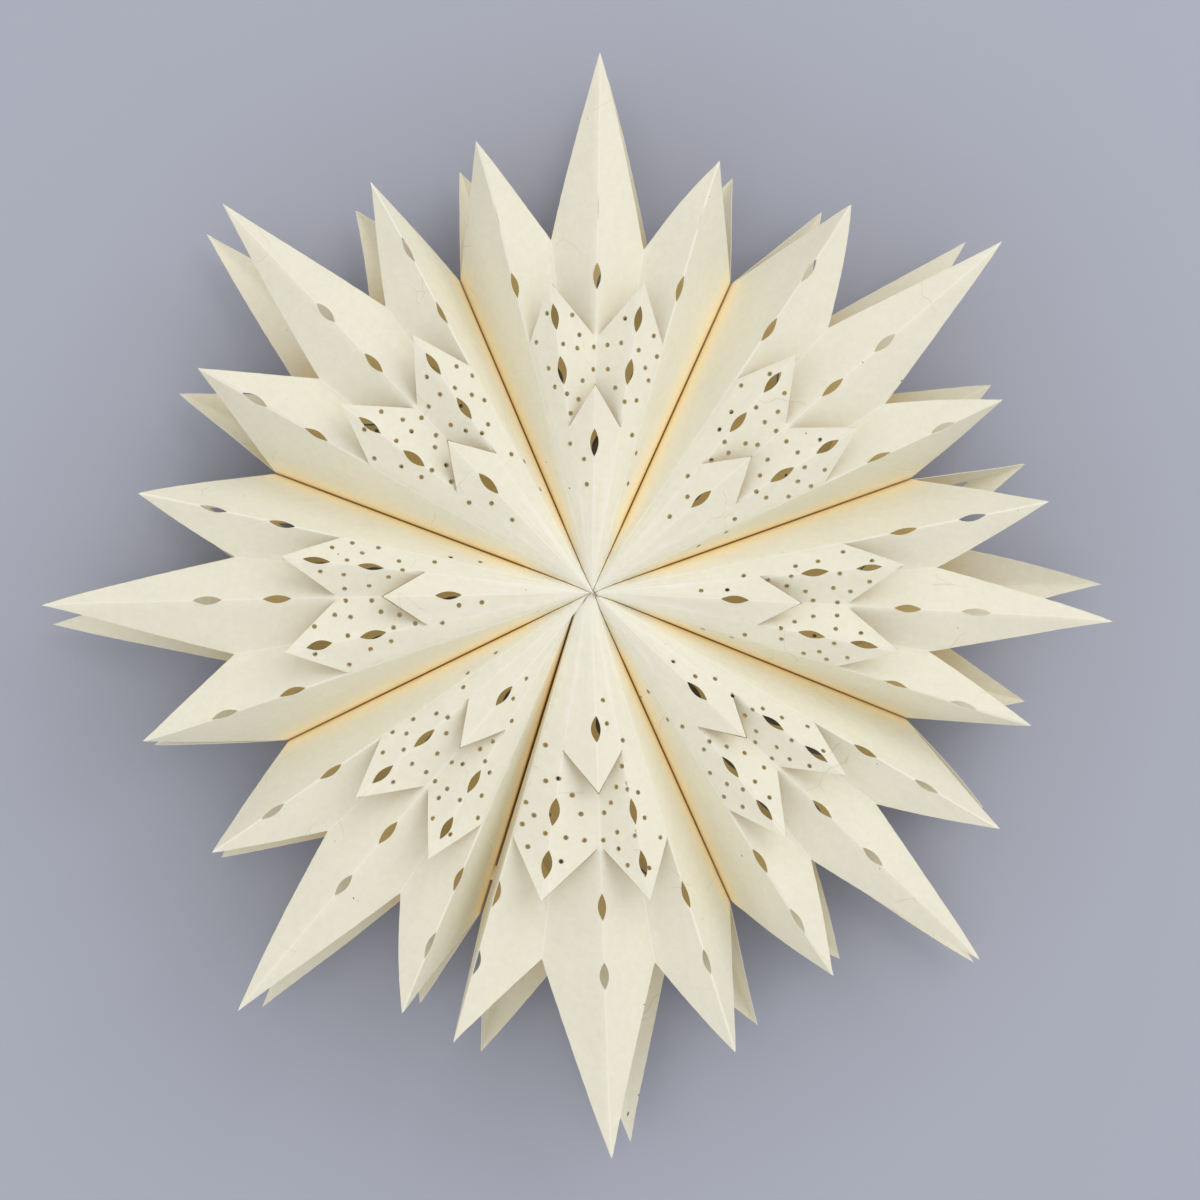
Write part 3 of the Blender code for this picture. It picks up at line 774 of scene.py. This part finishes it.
def point_marks(flat, unit_index, face, lip, dots, paper):
    """What the finishes need to know of a flat point, by the name of its attribute."""
    distance, angle = flat.length, math.atan2(flat.y, flat.x)
    nearest = dots.find((flat.x, flat.y, 0.0))[2]
    beyond = (nearest * MM - paper.dot / 2) / paper.dot_shade
    at = flat * MM + Vector((unit_index * PULP_APART[0], face * PULP_APART[1]))
    fan = unit_index * FAN_APART[0] + face * FAN_APART[1]
    return {
        "flat_place": (at.x, at.y, 0.0),
        "fan_place": (angle * FAN_ACROSS, distance * MM * FAN_ALONG, fan),
        "crease": crease_nearness(distance, angle),
        "seam": seam_nearness(distance, angle, lip),
        "punch": min(1.0, max(0.0, 1 - beyond)),
        "hollow": shut_in(distance),
    }


def mark_points(mesh, marks):
    """Writes each point's marks to the mesh, as attributes that the finishes read."""
    for name, first in marks[0].items():
        if isinstance(first, tuple):
            attribute = mesh.attributes.new(name, "FLOAT_VECTOR", "POINT")
            attribute.data.foreach_set("vector", [part for mark in marks for part in mark[name]])
        else:
            attribute = mesh.attributes.new(name, "FLOAT", "POINT")
            attribute.data.foreach_set("value", [mark[name] for mark in marks])


def folded_mesh(unit_index, face, paper, name):
    """The middle surface of one folded sheet; face is +1 for a front sheet, -1 for a back one."""
    unit = UNITS[unit_index]
    chance = random.Random(paper.seed * 100 + unit_index * 2 + (face > 0))
    leans, extras = zip(*(unit.front if face > 0 else unit.back))
    flat, triangles, dots = blank_mesh(unit_index, extras, paper, chance)
    low, high = boundary_after(unit_index - 1), boundary_after(unit_index)
    folds, centre_azimuth = fold_vectors(unit_index * UNIT_PITCH, leans, low, high)
    used = sorted({i for t in triangles for i in t})
    renumber = {old: new for new, old in enumerate(used)}
    curls = [(chance.uniform(*TIP_LIFTS), chance.uniform(*TIP_SWAYS)) for _ in range(3)]
    roof_shift, roof_lift = ROOF_SLIT_SHIFTS[unit_index], ROOF_LIFT * (face > 0)
    points, marks = [], []
    for i in used:
        distance, angle = flat[i].length, math.atan2(flat[i].y, flat[i].x)
        place = folded(flat[i], folds, roof_shift, roof_lift, paper)
        place = fitted(place, centre_azimuth, low, high, (abs(angle) - FLAT_SEAM) * distance)
        place = curled_tip(place, distance, angle, extras, curls)
        place = pinched(place, angle, pinch_pull(unit_index, angle))
        place.z += HALF_DEPTH
        points.append(star_point(place, face))
        lip = SHADED_LIP if is_open(high if angle > 0 else low) else 0.0
        marks.append(point_marks(flat[i], unit_index, face, lip, dots, paper))
    order = (0, 1, 2) if face > 0 else (0, 2, 1)
    faces = [[renumber[t[k]] for k in order] for t in triangles]
    mesh = bpy.data.meshes.new(name)
    mesh.from_pydata(points, [], faces)
    mark_points(mesh, marks)
    dried_waves(mesh, paper, unit_index * 7.3 + face)
    return mesh, low, high


def dried_waves(mesh, paper, offset):
    """Swells the paper a little out of flat, as handmade paper dries, clear of the glued walls."""
    shape = bmesh.new()
    shape.from_mesh(mesh)
    shape.normal_update()
    seam = shape.verts.layers.float["seam"]
    axis = Vector((FOLD_AXIS.x * MM, FOLD_AXIS.y * MM, 0.0))
    moves = []
    for vertex in shape.verts:
        radius = (vertex.co - axis).to_2d().length / MM
        come_in = min(1.0, max(0.0, (radius - WAVES_START) / WAVES_RUN))
        at = vertex.co / WAVE_SIZE + Vector((offset, -offset, offset * 0.5))
        swell = noise.noise(at) + 0.35 * noise.noise(at * 2.7)
        free = come_in * (1 - vertex[seam]) ** 0.5
        moves.append(vertex.normal * swell * paper.waviness * free)
    for vertex, move in zip(shape.verts, moves):
        vertex.co += move
        vertex.co.z = max(vertex.co.z, LOWEST * MM)
    shape.to_mesh(mesh)
    shape.free()


def folded_sheet(unit_index, face, paper, finishes):
    """One finished sheet, on its unit's body; face is +1 for a front sheet and -1 for a back one."""
    side_name, unit_name = "front" if face > 0 else "back", UNITS[unit_index].name
    mesh, low, high = folded_mesh(unit_index, face, paper, f"folded_{side_name}_{unit_name}")
    for finish in finishes:
        mesh.materials.append(finish)
    piece = bpy.data.objects.new(mesh.name, mesh)
    bpy.context.scene.collection.objects.link(piece)
    make_active(piece)
    bpy.ops.object.modifier_add(type="SOLIDIFY")
    thick = piece.modifiers[-1]
    thick.thickness = paper.thickness
    thick.offset = 0.0
    thick.use_quality_normals = True
    thick.material_offset = 1
    thick.material_offset_rim = 2
    bpy.ops.object.modifier_apply(modifier=thick.name)
    bpy.ops.object.shade_smooth_by_angle(angle=math.radians(32))
    node = f"{side_name}_sheet_{unit_name}"
    body = body_holding(node)
    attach(piece, body)
    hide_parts(node)
    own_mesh(piece)


# ---------------------------------------------------------------- finishes


def plugged(tree, socket, value):
    """Gives a socket a value, or links it to another node's output."""
    if isinstance(value, bpy.types.NodeSocket):
        tree.links.new(value, socket)
    else:
        socket.default_value = value


def linked(tree, kind, inputs=None, **settings):
    """A new node with these settings, its inputs given as values or as other nodes' outputs."""
    node = tree.nodes.new(kind)
    for name, value in settings.items():
        setattr(node, name, value)
    for name, value in (inputs or {}).items():
        plugged(tree, node.inputs[name], value)
    return node


def new_group(name, inputs, outputs):
    """An empty shader group with these sockets, and its two end nodes."""
    tree = bpy.data.node_groups.new(name, "ShaderNodeTree")
    for socket_name, kind in inputs:
        tree.interface.new_socket(socket_name, in_out="INPUT", socket_type=kind)
    for socket_name, kind in outputs:
        tree.interface.new_socket(socket_name, in_out="OUTPUT", socket_type=kind)
    return tree, tree.nodes.new("NodeGroupInput"), tree.nodes.new("NodeGroupOutput")


def maths(tree, operation, *values, clamp=False):
    """The result of one operation on these values."""
    node = tree.nodes.new("ShaderNodeMath")
    node.operation = operation
    node.use_clamp = clamp
    for socket, value in zip(node.inputs, values):
        plugged(tree, socket, value)
    return node.outputs[0]


def mixed(tree, factor, a, b, blend="MIX"):
    """A colour mix."""
    node = tree.nodes.new("ShaderNodeMix")
    node.data_type = "RGBA"
    node.blend_type = blend
    for index, value in ((0, factor), (6, a), (7, b)):
        plugged(tree, node.inputs[index], value)
    return node.outputs[2]


def noisy(tree, place, scale, detail, **more):
    """A noise texture, its grains this many to the metre."""
    inputs = {"Vector": place, "Scale": scale, "Detail": detail, **more}
    return linked(tree, "ShaderNodeTexNoise", inputs)


def ranged(tree, value, start, end, new_start=0.0, new_end=1.0):
    """A value carried over from one range to another."""
    inputs = {"Value": value, "From Min": start, "From Max": end}
    inputs |= {"To Min": new_start, "To Max": new_end}
    return linked(tree, "ShaderNodeMapRange", inputs).outputs[0]


def marked(tree, name):
    """The value of one of a sheet's attributes."""
    return linked(tree, "ShaderNodeAttribute", attribute_name=name).outputs["Fac"]


def pulp_group():
    """Cotton pulp: cloudiness, flecks of husk and stray fibres, as a colour and a height."""
    tree, given, result = new_group(
        "Cotton pulp",
        [("Place", "NodeSocketVector"), ("Paper", "NodeSocketColor")],
        [("Colour", "NodeSocketColor"), ("Height", "NodeSocketFloat")],
    )
    place, paper = given.outputs["Place"], given.outputs["Paper"]
    clouds = noisy(tree, place, 26.0, 3.0).outputs["Fac"]
    pulp = noisy(tree, place, 210.0, 6.0, Roughness=0.68).outputs["Fac"]
    tooth = noisy(tree, place, 900.0, 4.0, Roughness=0.6).outputs["Fac"]
    bend = noisy(tree, place, 38.0, 2.0).outputs["Color"]
    bent = linked(
        tree, "ShaderNodeVectorMath", {0: bend, 1: (0.022, 0.022, 0.0)}, operation="MULTIPLY"
    )
    strayed = linked(
        tree, "ShaderNodeVectorMath", {0: place, 1: bent.outputs[0]}, operation="ADD"
    ).outputs[0]
    thread = linked(
        tree, "ShaderNodeTexVoronoi", {"Vector": strayed, "Scale": 24.0},
        feature="DISTANCE_TO_EDGE",
    )
    line = maths(tree, "LESS_THAN", thread.outputs["Distance"], 0.0045)
    gate = noisy(tree, place, 21.0, 1.0).outputs["Fac"]
    fibre = maths(tree, "MULTIPLY", line, maths(tree, "GREATER_THAN", gate, 0.63))
    cell = linked(tree, "ShaderNodeTexVoronoi", {"Vector": strayed, "Scale": 120.0}, feature="F1")
    chosen = linked(tree, "ShaderNodeSeparateColor", {"Color": cell.outputs["Color"]})
    size = maths(tree, "MULTIPLY", maths(tree, "SUBTRACT", chosen.outputs[0], 0.86, clamp=True), 0.62)
    husk = maths(tree, "LESS_THAN", cell.outputs["Distance"], size)
    stretch = linked(
        tree, "ShaderNodeMapping",
        {"Vector": strayed, "Rotation": (0.0, 0.0, 0.6), "Scale": (1.0, 3.2, 1.0)},
    )
    sliver_cell = linked(
        tree, "ShaderNodeTexVoronoi", {"Vector": stretch.outputs[0], "Scale": 42.0}, feature="F1"
    )
    picked = linked(tree, "ShaderNodeSeparateColor", {"Color": sliver_cell.outputs["Color"]})
    length = maths(
        tree, "MULTIPLY", maths(tree, "SUBTRACT", picked.outputs[1], 0.88, clamp=True), 0.32
    )
    sliver = maths(tree, "LESS_THAN", sliver_cell.outputs["Distance"], length)
    cloudiness = ranged(tree, clouds, 0.32, 0.68)
    cloudy = mixed(tree, cloudiness, paper, (0.955, 0.965, 0.975, 1.0), "MULTIPLY")
    mottling = ranged(tree, pulp, 0.36, 0.66, 0.0, 0.75)
    mottled = mixed(tree, mottling, cloudy, (0.955, 0.935, 0.885, 1.0), "MULTIPLY")
    faint = maths(tree, "MULTIPLY", fibre, 0.24)
    threaded = mixed(tree, faint, mottled, (0.62, 0.52, 0.40, 1.0), "MULTIPLY")
    strength = maths(tree, "MULTIPLY_ADD", chosen.outputs[2], 0.55, 0.35)
    spotted = maths(tree, "MULTIPLY", husk, strength)
    flecked = mixed(tree, spotted, threaded, (0.20, 0.13, 0.07, 1.0))
    slivered = mixed(tree, maths(tree, "MULTIPLY", sliver, 0.55), flecked, (0.42, 0.31, 0.17, 1.0))
    height = maths(
        tree, "ADD", maths(tree, "MULTIPLY", pulp, 0.75), maths(tree, "MULTIPLY", tooth, 0.35)
    )
    wrinkles = noisy(tree, place, 95.0, 2.0).outputs["Fac"]
    height = maths(tree, "MULTIPLY_ADD", wrinkles, 2.0, height)
    raised = maths(tree, "MULTIPLY_ADD", fibre, 0.35, height)
    tree.links.new(slivered, result.inputs["Colour"])
    tree.links.new(raised, result.inputs["Height"])
    return tree


def new_material(name, roughness, specular):
    """A new material with its node tree and its shader."""
    made = bpy.data.materials.new(name)
    made.use_nodes = True
    shader = made.node_tree.nodes["Principled BSDF"]
    shader.inputs["Roughness"].default_value = roughness
    shader.inputs["Specular IOR Level"].default_value = specular
    return made, made.node_tree, shader


def gather_group():
    """Fine creases that run out from a sheet's point, where the folds are gathered."""
    tree, given, result = new_group(
        "Gathered creases", [("Fan", "NodeSocketVector")], [("Streak", "NodeSocketFloat")]
    )
    fan = given.outputs["Fan"]
    streaks = noisy(tree, fan, 210.0, 3.0).outputs["Fac"]
    along = linked(tree, "ShaderNodeSeparateXYZ", {"Vector": fan}).outputs["Y"]
    fade = ranged(tree, along, 0.001, 0.0055, 1.0, 0.0)
    level = maths(tree, "SUBTRACT", streaks, 0.5)
    tree.links.new(maths(tree, "MULTIPLY", level, fade), result.inputs["Streak"])
    return tree


def pulp_in(tree, pulp, colour, place=None):
    """The pulp group in a material, on the sheet's flat place unless another is given."""
    if place is None:
        place = linked(tree, "ShaderNodeAttribute", attribute_name="flat_place").outputs["Vector"]
    inputs = {"Place": place, "Paper": (*colour, 1.0)}
    return linked_group(tree, pulp, inputs)


def linked_group(tree, group, inputs):
    """A node group placed in a tree with these inputs."""
    node = linked(tree, "ShaderNodeGroup", node_tree=group)
    for name, value in inputs.items():
        plugged(tree, node.inputs[name], value)
    return node


def roughened(tree, height, strength, distance):
    """A normal bumped by this height."""
    bump = linked(
        tree, "ShaderNodeBump", {"Height": height, "Strength": strength, "Distance": distance}
    )
    return bump.outputs["Normal"]


def outer_paper(pulp, paper):
    """The paper's outer face: pulp, a painted highlight along the creases, painted warm shade and painted glow
    deep in the seams, and painted shade round the dots and in the gathered creases.
    """
    made, tree, shader = new_material("Handmade paper", 0.9, 0.25)
    group = pulp_in(tree, pulp, paper.colour)
    seam, crease, punch = (marked(tree, name) for name in ("seam", "crease", "punch"))
    # Painted shade: the walls in a seam, and the lip beside the open seam, are darkened brown
    shut = maths(tree, "GREATER_THAN", seam, 0.985)
    # Painted shade: warmer and darker towards the seam
    warm_shade = maths(tree, "POWER", seam, 5.0)
    shaded = mixed(tree, warm_shade, group.outputs["Colour"], (*paper.seam_shade, 1.0), "MULTIPLY")
    shaded = mixed(tree, shut, shaded, (*paper.wall_shade, 1.0), "MULTIPLY")
    # Painted shade: a dark ring round each punched dot
    dot_shade = maths(tree, "MULTIPLY", maths(tree, "POWER", punch, 1.4), 0.85)
    shaded = mixed(tree, dot_shade, shaded, (0.17, 0.13, 0.07, 1.0))
    fan = linked(tree, "ShaderNodeAttribute", attribute_name="fan_place").outputs["Vector"]
    streak = linked_group(tree, gather_group(), {"Fan": fan}).outputs["Streak"]
    # Painted shade and highlight: the gathered creases darken and lighten the colour, as well as bumping the
    # surface
    shade = maths(tree, "MULTIPLY_ADD", streak, 0.20, 1.0)
    grey = linked(tree, "ShaderNodeCombineColor", {"Red": shade, "Green": shade, "Blue": shade})
    shaded = mixed(tree, 1.0, shaded, grey.outputs[0], "MULTIPLY")
    # Painted highlight: a pale line along every fold, clear of the seams
    away = maths(tree, "LESS_THAN", seam, 0.96)
    crease_highlight = maths(tree, "MULTIPLY", maths(tree, "MULTIPLY", crease, away), 0.34)
    highlighted = mixed(tree, crease_highlight, shaded, (0.95, 0.93, 0.87, 1.0))
    tree.links.new(highlighted, shader.inputs["Base Color"])
    # Painted glow: an emission beside a seam and on its walls stands in for light through the paper. Beside the
    # seam it is strongest a little way off the fold, where one layer is lit
    rise = maths(tree, "POWER", seam, 3.0)
    hidden = maths(tree, "POWER", seam, 12.0)
    lit = maths(tree, "MULTIPLY", rise, maths(tree, "SUBTRACT", 1.0, hidden))
    beside = mixed(tree, lit, BLACK, (*paper.seam_glow, 1.0))
    through = mixed(tree, shut, beside, (*paper.wall_glow, 1.0))
    tree.links.new(through, shader.inputs["Emission Color"])
    shader.inputs["Emission Strength"].default_value = 1.0
    height = maths(tree, "MULTIPLY_ADD", streak, 1.0, group.outputs["Height"])
    tree.links.new(roughened(tree, height, 0.32, 0.0006), shader.inputs["Normal"])
    rough = ranged(tree, group.outputs["Height"], 1.3, 1.8, 0.94, 0.82)
    tree.links.new(rough, shader.inputs["Roughness"])
    return made


def inner_paper(pulp, paper):
    """The paper's inner face, darkened by painted shade and lit by a painted glow deep in the hollows, in place of
    the light that comes through the sheet.
    """
    made, tree, shader = new_material("Handmade paper, inner face", 0.95, 0.1)
    group = pulp_in(tree, pulp, paper.colour)
    hollow = marked(tree, "hollow")
    # Painted shade deep in the hollows
    lined = mixed(tree, hollow, group.outputs["Colour"], (*paper.hollow_shade, 1.0), "MULTIPLY")
    tree.links.new(lined, shader.inputs["Base Color"])
    tree.links.new(roughened(tree, group.outputs["Height"], 0.3, 0.0006), shader.inputs["Normal"])
    # Painted glow deep in the hollows
    hollow_glow = mixed(tree, hollow, BLACK, (*paper.hollow_glow, 1.0))
    tree.links.new(hollow_glow, shader.inputs["Emission Color"])
    shader.inputs["Emission Strength"].default_value = 1.0
    return made


def cut_edge(pulp, paper):
    """The paper's cut edge, fluffy, its colour raised a little as a painted highlight."""
    made, tree, shader = new_material("Cut paper edge", 0.95, 0.15)
    group = pulp_in(tree, pulp, [min(1.0, c * 1.04) for c in paper.colour])
    tree.links.new(group.outputs["Colour"], shader.inputs["Base Color"])
    tree.links.new(roughened(tree, group.outputs["Height"], 0.5, 0.0005), shader.inputs["Normal"])
    return made


def tab_paper(pulp, paper):
    """Paper of the small closing tabs, whose pulp lies in the tab's own place."""
    made, tree, shader = new_material("Closing tab paper", 0.9, 0.25)
    place = linked(tree, "ShaderNodeTexCoord").outputs["Object"]
    group = pulp_in(tree, pulp, paper.colour, place)
    tree.links.new(group.outputs["Colour"], shader.inputs["Base Color"])
    tree.links.new(roughened(tree, group.outputs["Height"], 0.4, 0.0006), shader.inputs["Normal"])
    return made


def brown_card(card):
    """Grey-brown pressed card with fibres, for the end covers."""
    made, tree, shader = new_material("Brown card", 0.88, 0.3)
    place = linked(tree, "ShaderNodeTexCoord").outputs["Object"]
    grain = noisy(tree, place, 420.0, 7.0, Roughness=0.7).outputs["Fac"]
    drawn = linked(tree, "ShaderNodeMapping", {"Vector": place, "Scale": (1.0, 1.0, 9.0)})
    fibres = noisy(tree, drawn.outputs[0], 160.0, 5.0, Roughness=0.62).outputs["Fac"]
    dark = tuple(c * 0.62 for c in card.colour)
    pale = tuple(min(1.0, c * 1.45) for c in card.colour)
    base = mixed(tree, grain, (*dark, 1.0), (*card.colour, 1.0))
    level = maths(tree, "MULTIPLY", ranged(tree, fibres, 0.55, 0.72), 0.6)
    tree.links.new(mixed(tree, level, base, (*pale, 1.0)), shader.inputs["Base Color"])
    height = maths(tree, "ADD", grain, fibres)
    tree.links.new(roughened(tree, height, 0.45, 0.0004), shader.inputs["Normal"])
    return made


def floor_paint(stage):
    """Matt lilac-grey background board with a faint unevenness."""
    made, tree, shader = new_material("Grey board", 0.85, 0.2)
    place = linked(tree, "ShaderNodeTexCoord").outputs["Object"]
    cloud = noisy(tree, place, 3.0, 3.0).outputs["Fac"]
    tooth = noisy(tree, place, 900.0, 3.0).outputs["Fac"]
    pale = tuple(min(1.0, c * 1.02) for c in stage.floor)
    dark = tuple(c * 0.98 for c in stage.floor)
    board = mixed(tree, cloud, (*dark, 1.0), (*pale, 1.0))
    tree.links.new(board, shader.inputs["Base Color"])
    tree.links.new(roughened(tree, tooth, 0.08, 0.0003), shader.inputs["Normal"])
    return made


def pulp_tree():
    """The pulp group, made when it is first asked for."""
    return bpy.data.node_groups.get("Cotton pulp") or pulp_group()


def sheet_finishes(paper):
    """A sheet's materials: its outer face, its inner face and its cut edge."""
    pulp = pulp_tree()
    names = ("Handmade paper", "Handmade paper, inner face", "Cut paper edge")
    if names[0] in bpy.data.materials:
        return [bpy.data.materials[name] for name in names]
    return [outer_paper(pulp, paper), inner_paper(pulp, paper), cut_edge(pulp, paper)]


# ---------------------------------------------------------------- operators


def fold_sheets(context, face):
    """All the sheets of one side of the star."""
    paper = context.scene.star_paper
    finishes = sheet_finishes(paper)
    for index in range(len(UNITS)):
        folded_sheet(index, face, paper, finishes)


def finish_carried(names, finish):
    """Gives pieces that the frame already has their finish."""
    for name in names:
        piece = frame["nodes"][name]
        piece.data.materials.clear()
        piece.data.materials.append(finish)


class STAR_OT_front_sheets(bpy.types.Operator):
    """Fold the eight front sheets"""

    bl_idname = "star.front_sheets"
    bl_label = "Front Sheets"

    def execute(self, context):
        fold_sheets(context, 1)
        return {"FINISHED"}


class STAR_OT_back_sheets(bpy.types.Operator):
    """Fold the eight back sheets"""

    bl_idname = "star.back_sheets"
    bl_label = "Back Sheets"

    def execute(self, context):
        fold_sheets(context, -1)
        return {"FINISHED"}


class STAR_OT_end_covers(bpy.types.Operator):
    """Finish the two card end covers"""

    bl_idname = "star.end_covers"
    bl_label = "End Covers"

    def execute(self, context):
        finish = brown_card(context.scene.star_card)
        finish_carried(("end_cover_low", "end_cover_high"), finish)
        return {"FINISHED"}


class STAR_OT_closing_tabs(bpy.types.Operator):
    """Finish the two closing tabs"""

    bl_idname = "star.closing_tabs"
    bl_label = "Closing Tabs"

    def execute(self, context):
        finish = tab_paper(pulp_tree(), context.scene.star_paper)
        finish_carried(("closing_tab_front", "closing_tab_back"), finish)
        return {"FINISHED"}


class STAR_OT_stage(bpy.types.Operator):
    """Lay the floor and set the lights and the camera"""

    bl_idname = "star.stage"
    bl_label = "Stage"

    def execute(self, context):
        stage = context.scene.star_stage
        clear_selection()
        bpy.ops.mesh.primitive_plane_add(size=FLOOR_SIZE, location=(0.0, 0.0, 0.0))
        floor = context.object
        floor.name = "studio_floor"
        floor.data.materials.append(floor_paint(stage))
        for name, power, size, place in LIGHTS:
            bpy.ops.object.light_add(type="AREA", location=place)
            light = context.object
            light.name = name
            light.data.energy = getattr(stage, power)
            light.data.size = size
            light.data.color = LIGHT_COLOUR
            towards = LIGHTS_AIM - light.location
            light.rotation_euler = towards.to_track_quat("-Z", "Y").to_euler()
        world = bpy.data.worlds.new("Studio room")
        world.use_nodes = True
        sky = world.node_tree.nodes["Background"]
        sky.inputs["Color"].default_value = (*ROOM_COLOUR, 1.0)
        sky.inputs["Strength"].default_value = stage.room
        context.scene.world = world
        x, y = FOLD_AXIS * MM + Vector(CAMERA_OFFSET)
        bpy.ops.object.camera_add(location=(x, y, stage.height), rotation=(0.0, 0.0, 0.0))
        camera = context.object
        camera.name = "camera"
        camera.data.lens = stage.lens
        camera.data.sensor_width = 36.0
        camera.data.clip_end = 50.0
        context.scene.camera = camera
        context.scene.view_settings.view_transform = "Standard"
        return {"FINISHED"}


class STAR_PT_panel(bpy.types.Panel):
    """Steps and settings of the star"""

    bl_idname = "STAR_PT_panel"
    bl_label = "Paper Snowflake Star"
    bl_space_type = "VIEW_3D"
    bl_region_type = "UI"
    bl_category = "Star"

    def draw(self, context):
        layout = self.layout
        for operator in OPERATORS:
            layout.operator(operator.bl_idname)
        for group in (context.scene.star_paper, context.scene.star_card, context.scene.star_stage):
            box = layout.box()
            for name in group.__annotations__:
                box.prop(group, name)


OPERATORS = (
    STAR_OT_stage,
    STAR_OT_front_sheets,
    STAR_OT_back_sheets,
    STAR_OT_end_covers,
    STAR_OT_closing_tabs,
)
CLASSES = (StarPaperSettings, StarCardSettings, StarStageSettings, *OPERATORS, STAR_PT_panel)


def register():
    """Registers the classes and the scene's settings."""
    for cls in CLASSES:
        bpy.utils.register_class(cls)
    bpy.types.Scene.star_paper = PointerProperty(type=StarPaperSettings)
    bpy.types.Scene.star_card = PointerProperty(type=StarCardSettings)
    bpy.types.Scene.star_stage = PointerProperty(type=StarStageSettings)


def unregister():
    """Takes the settings and the classes away again."""
    del bpy.types.Scene.star_stage
    del bpy.types.Scene.star_card
    del bpy.types.Scene.star_paper
    for cls in reversed(CLASSES):
        bpy.utils.unregister_class(cls)


def main():
    """Builds the star and its stage."""
    register()
    bpy.ops.star.stage()
    bpy.ops.star.front_sheets()
    bpy.ops.star.back_sheets()
    bpy.ops.star.end_covers()
    bpy.ops.star.closing_tabs()


if __name__ == "__main__":
    main()
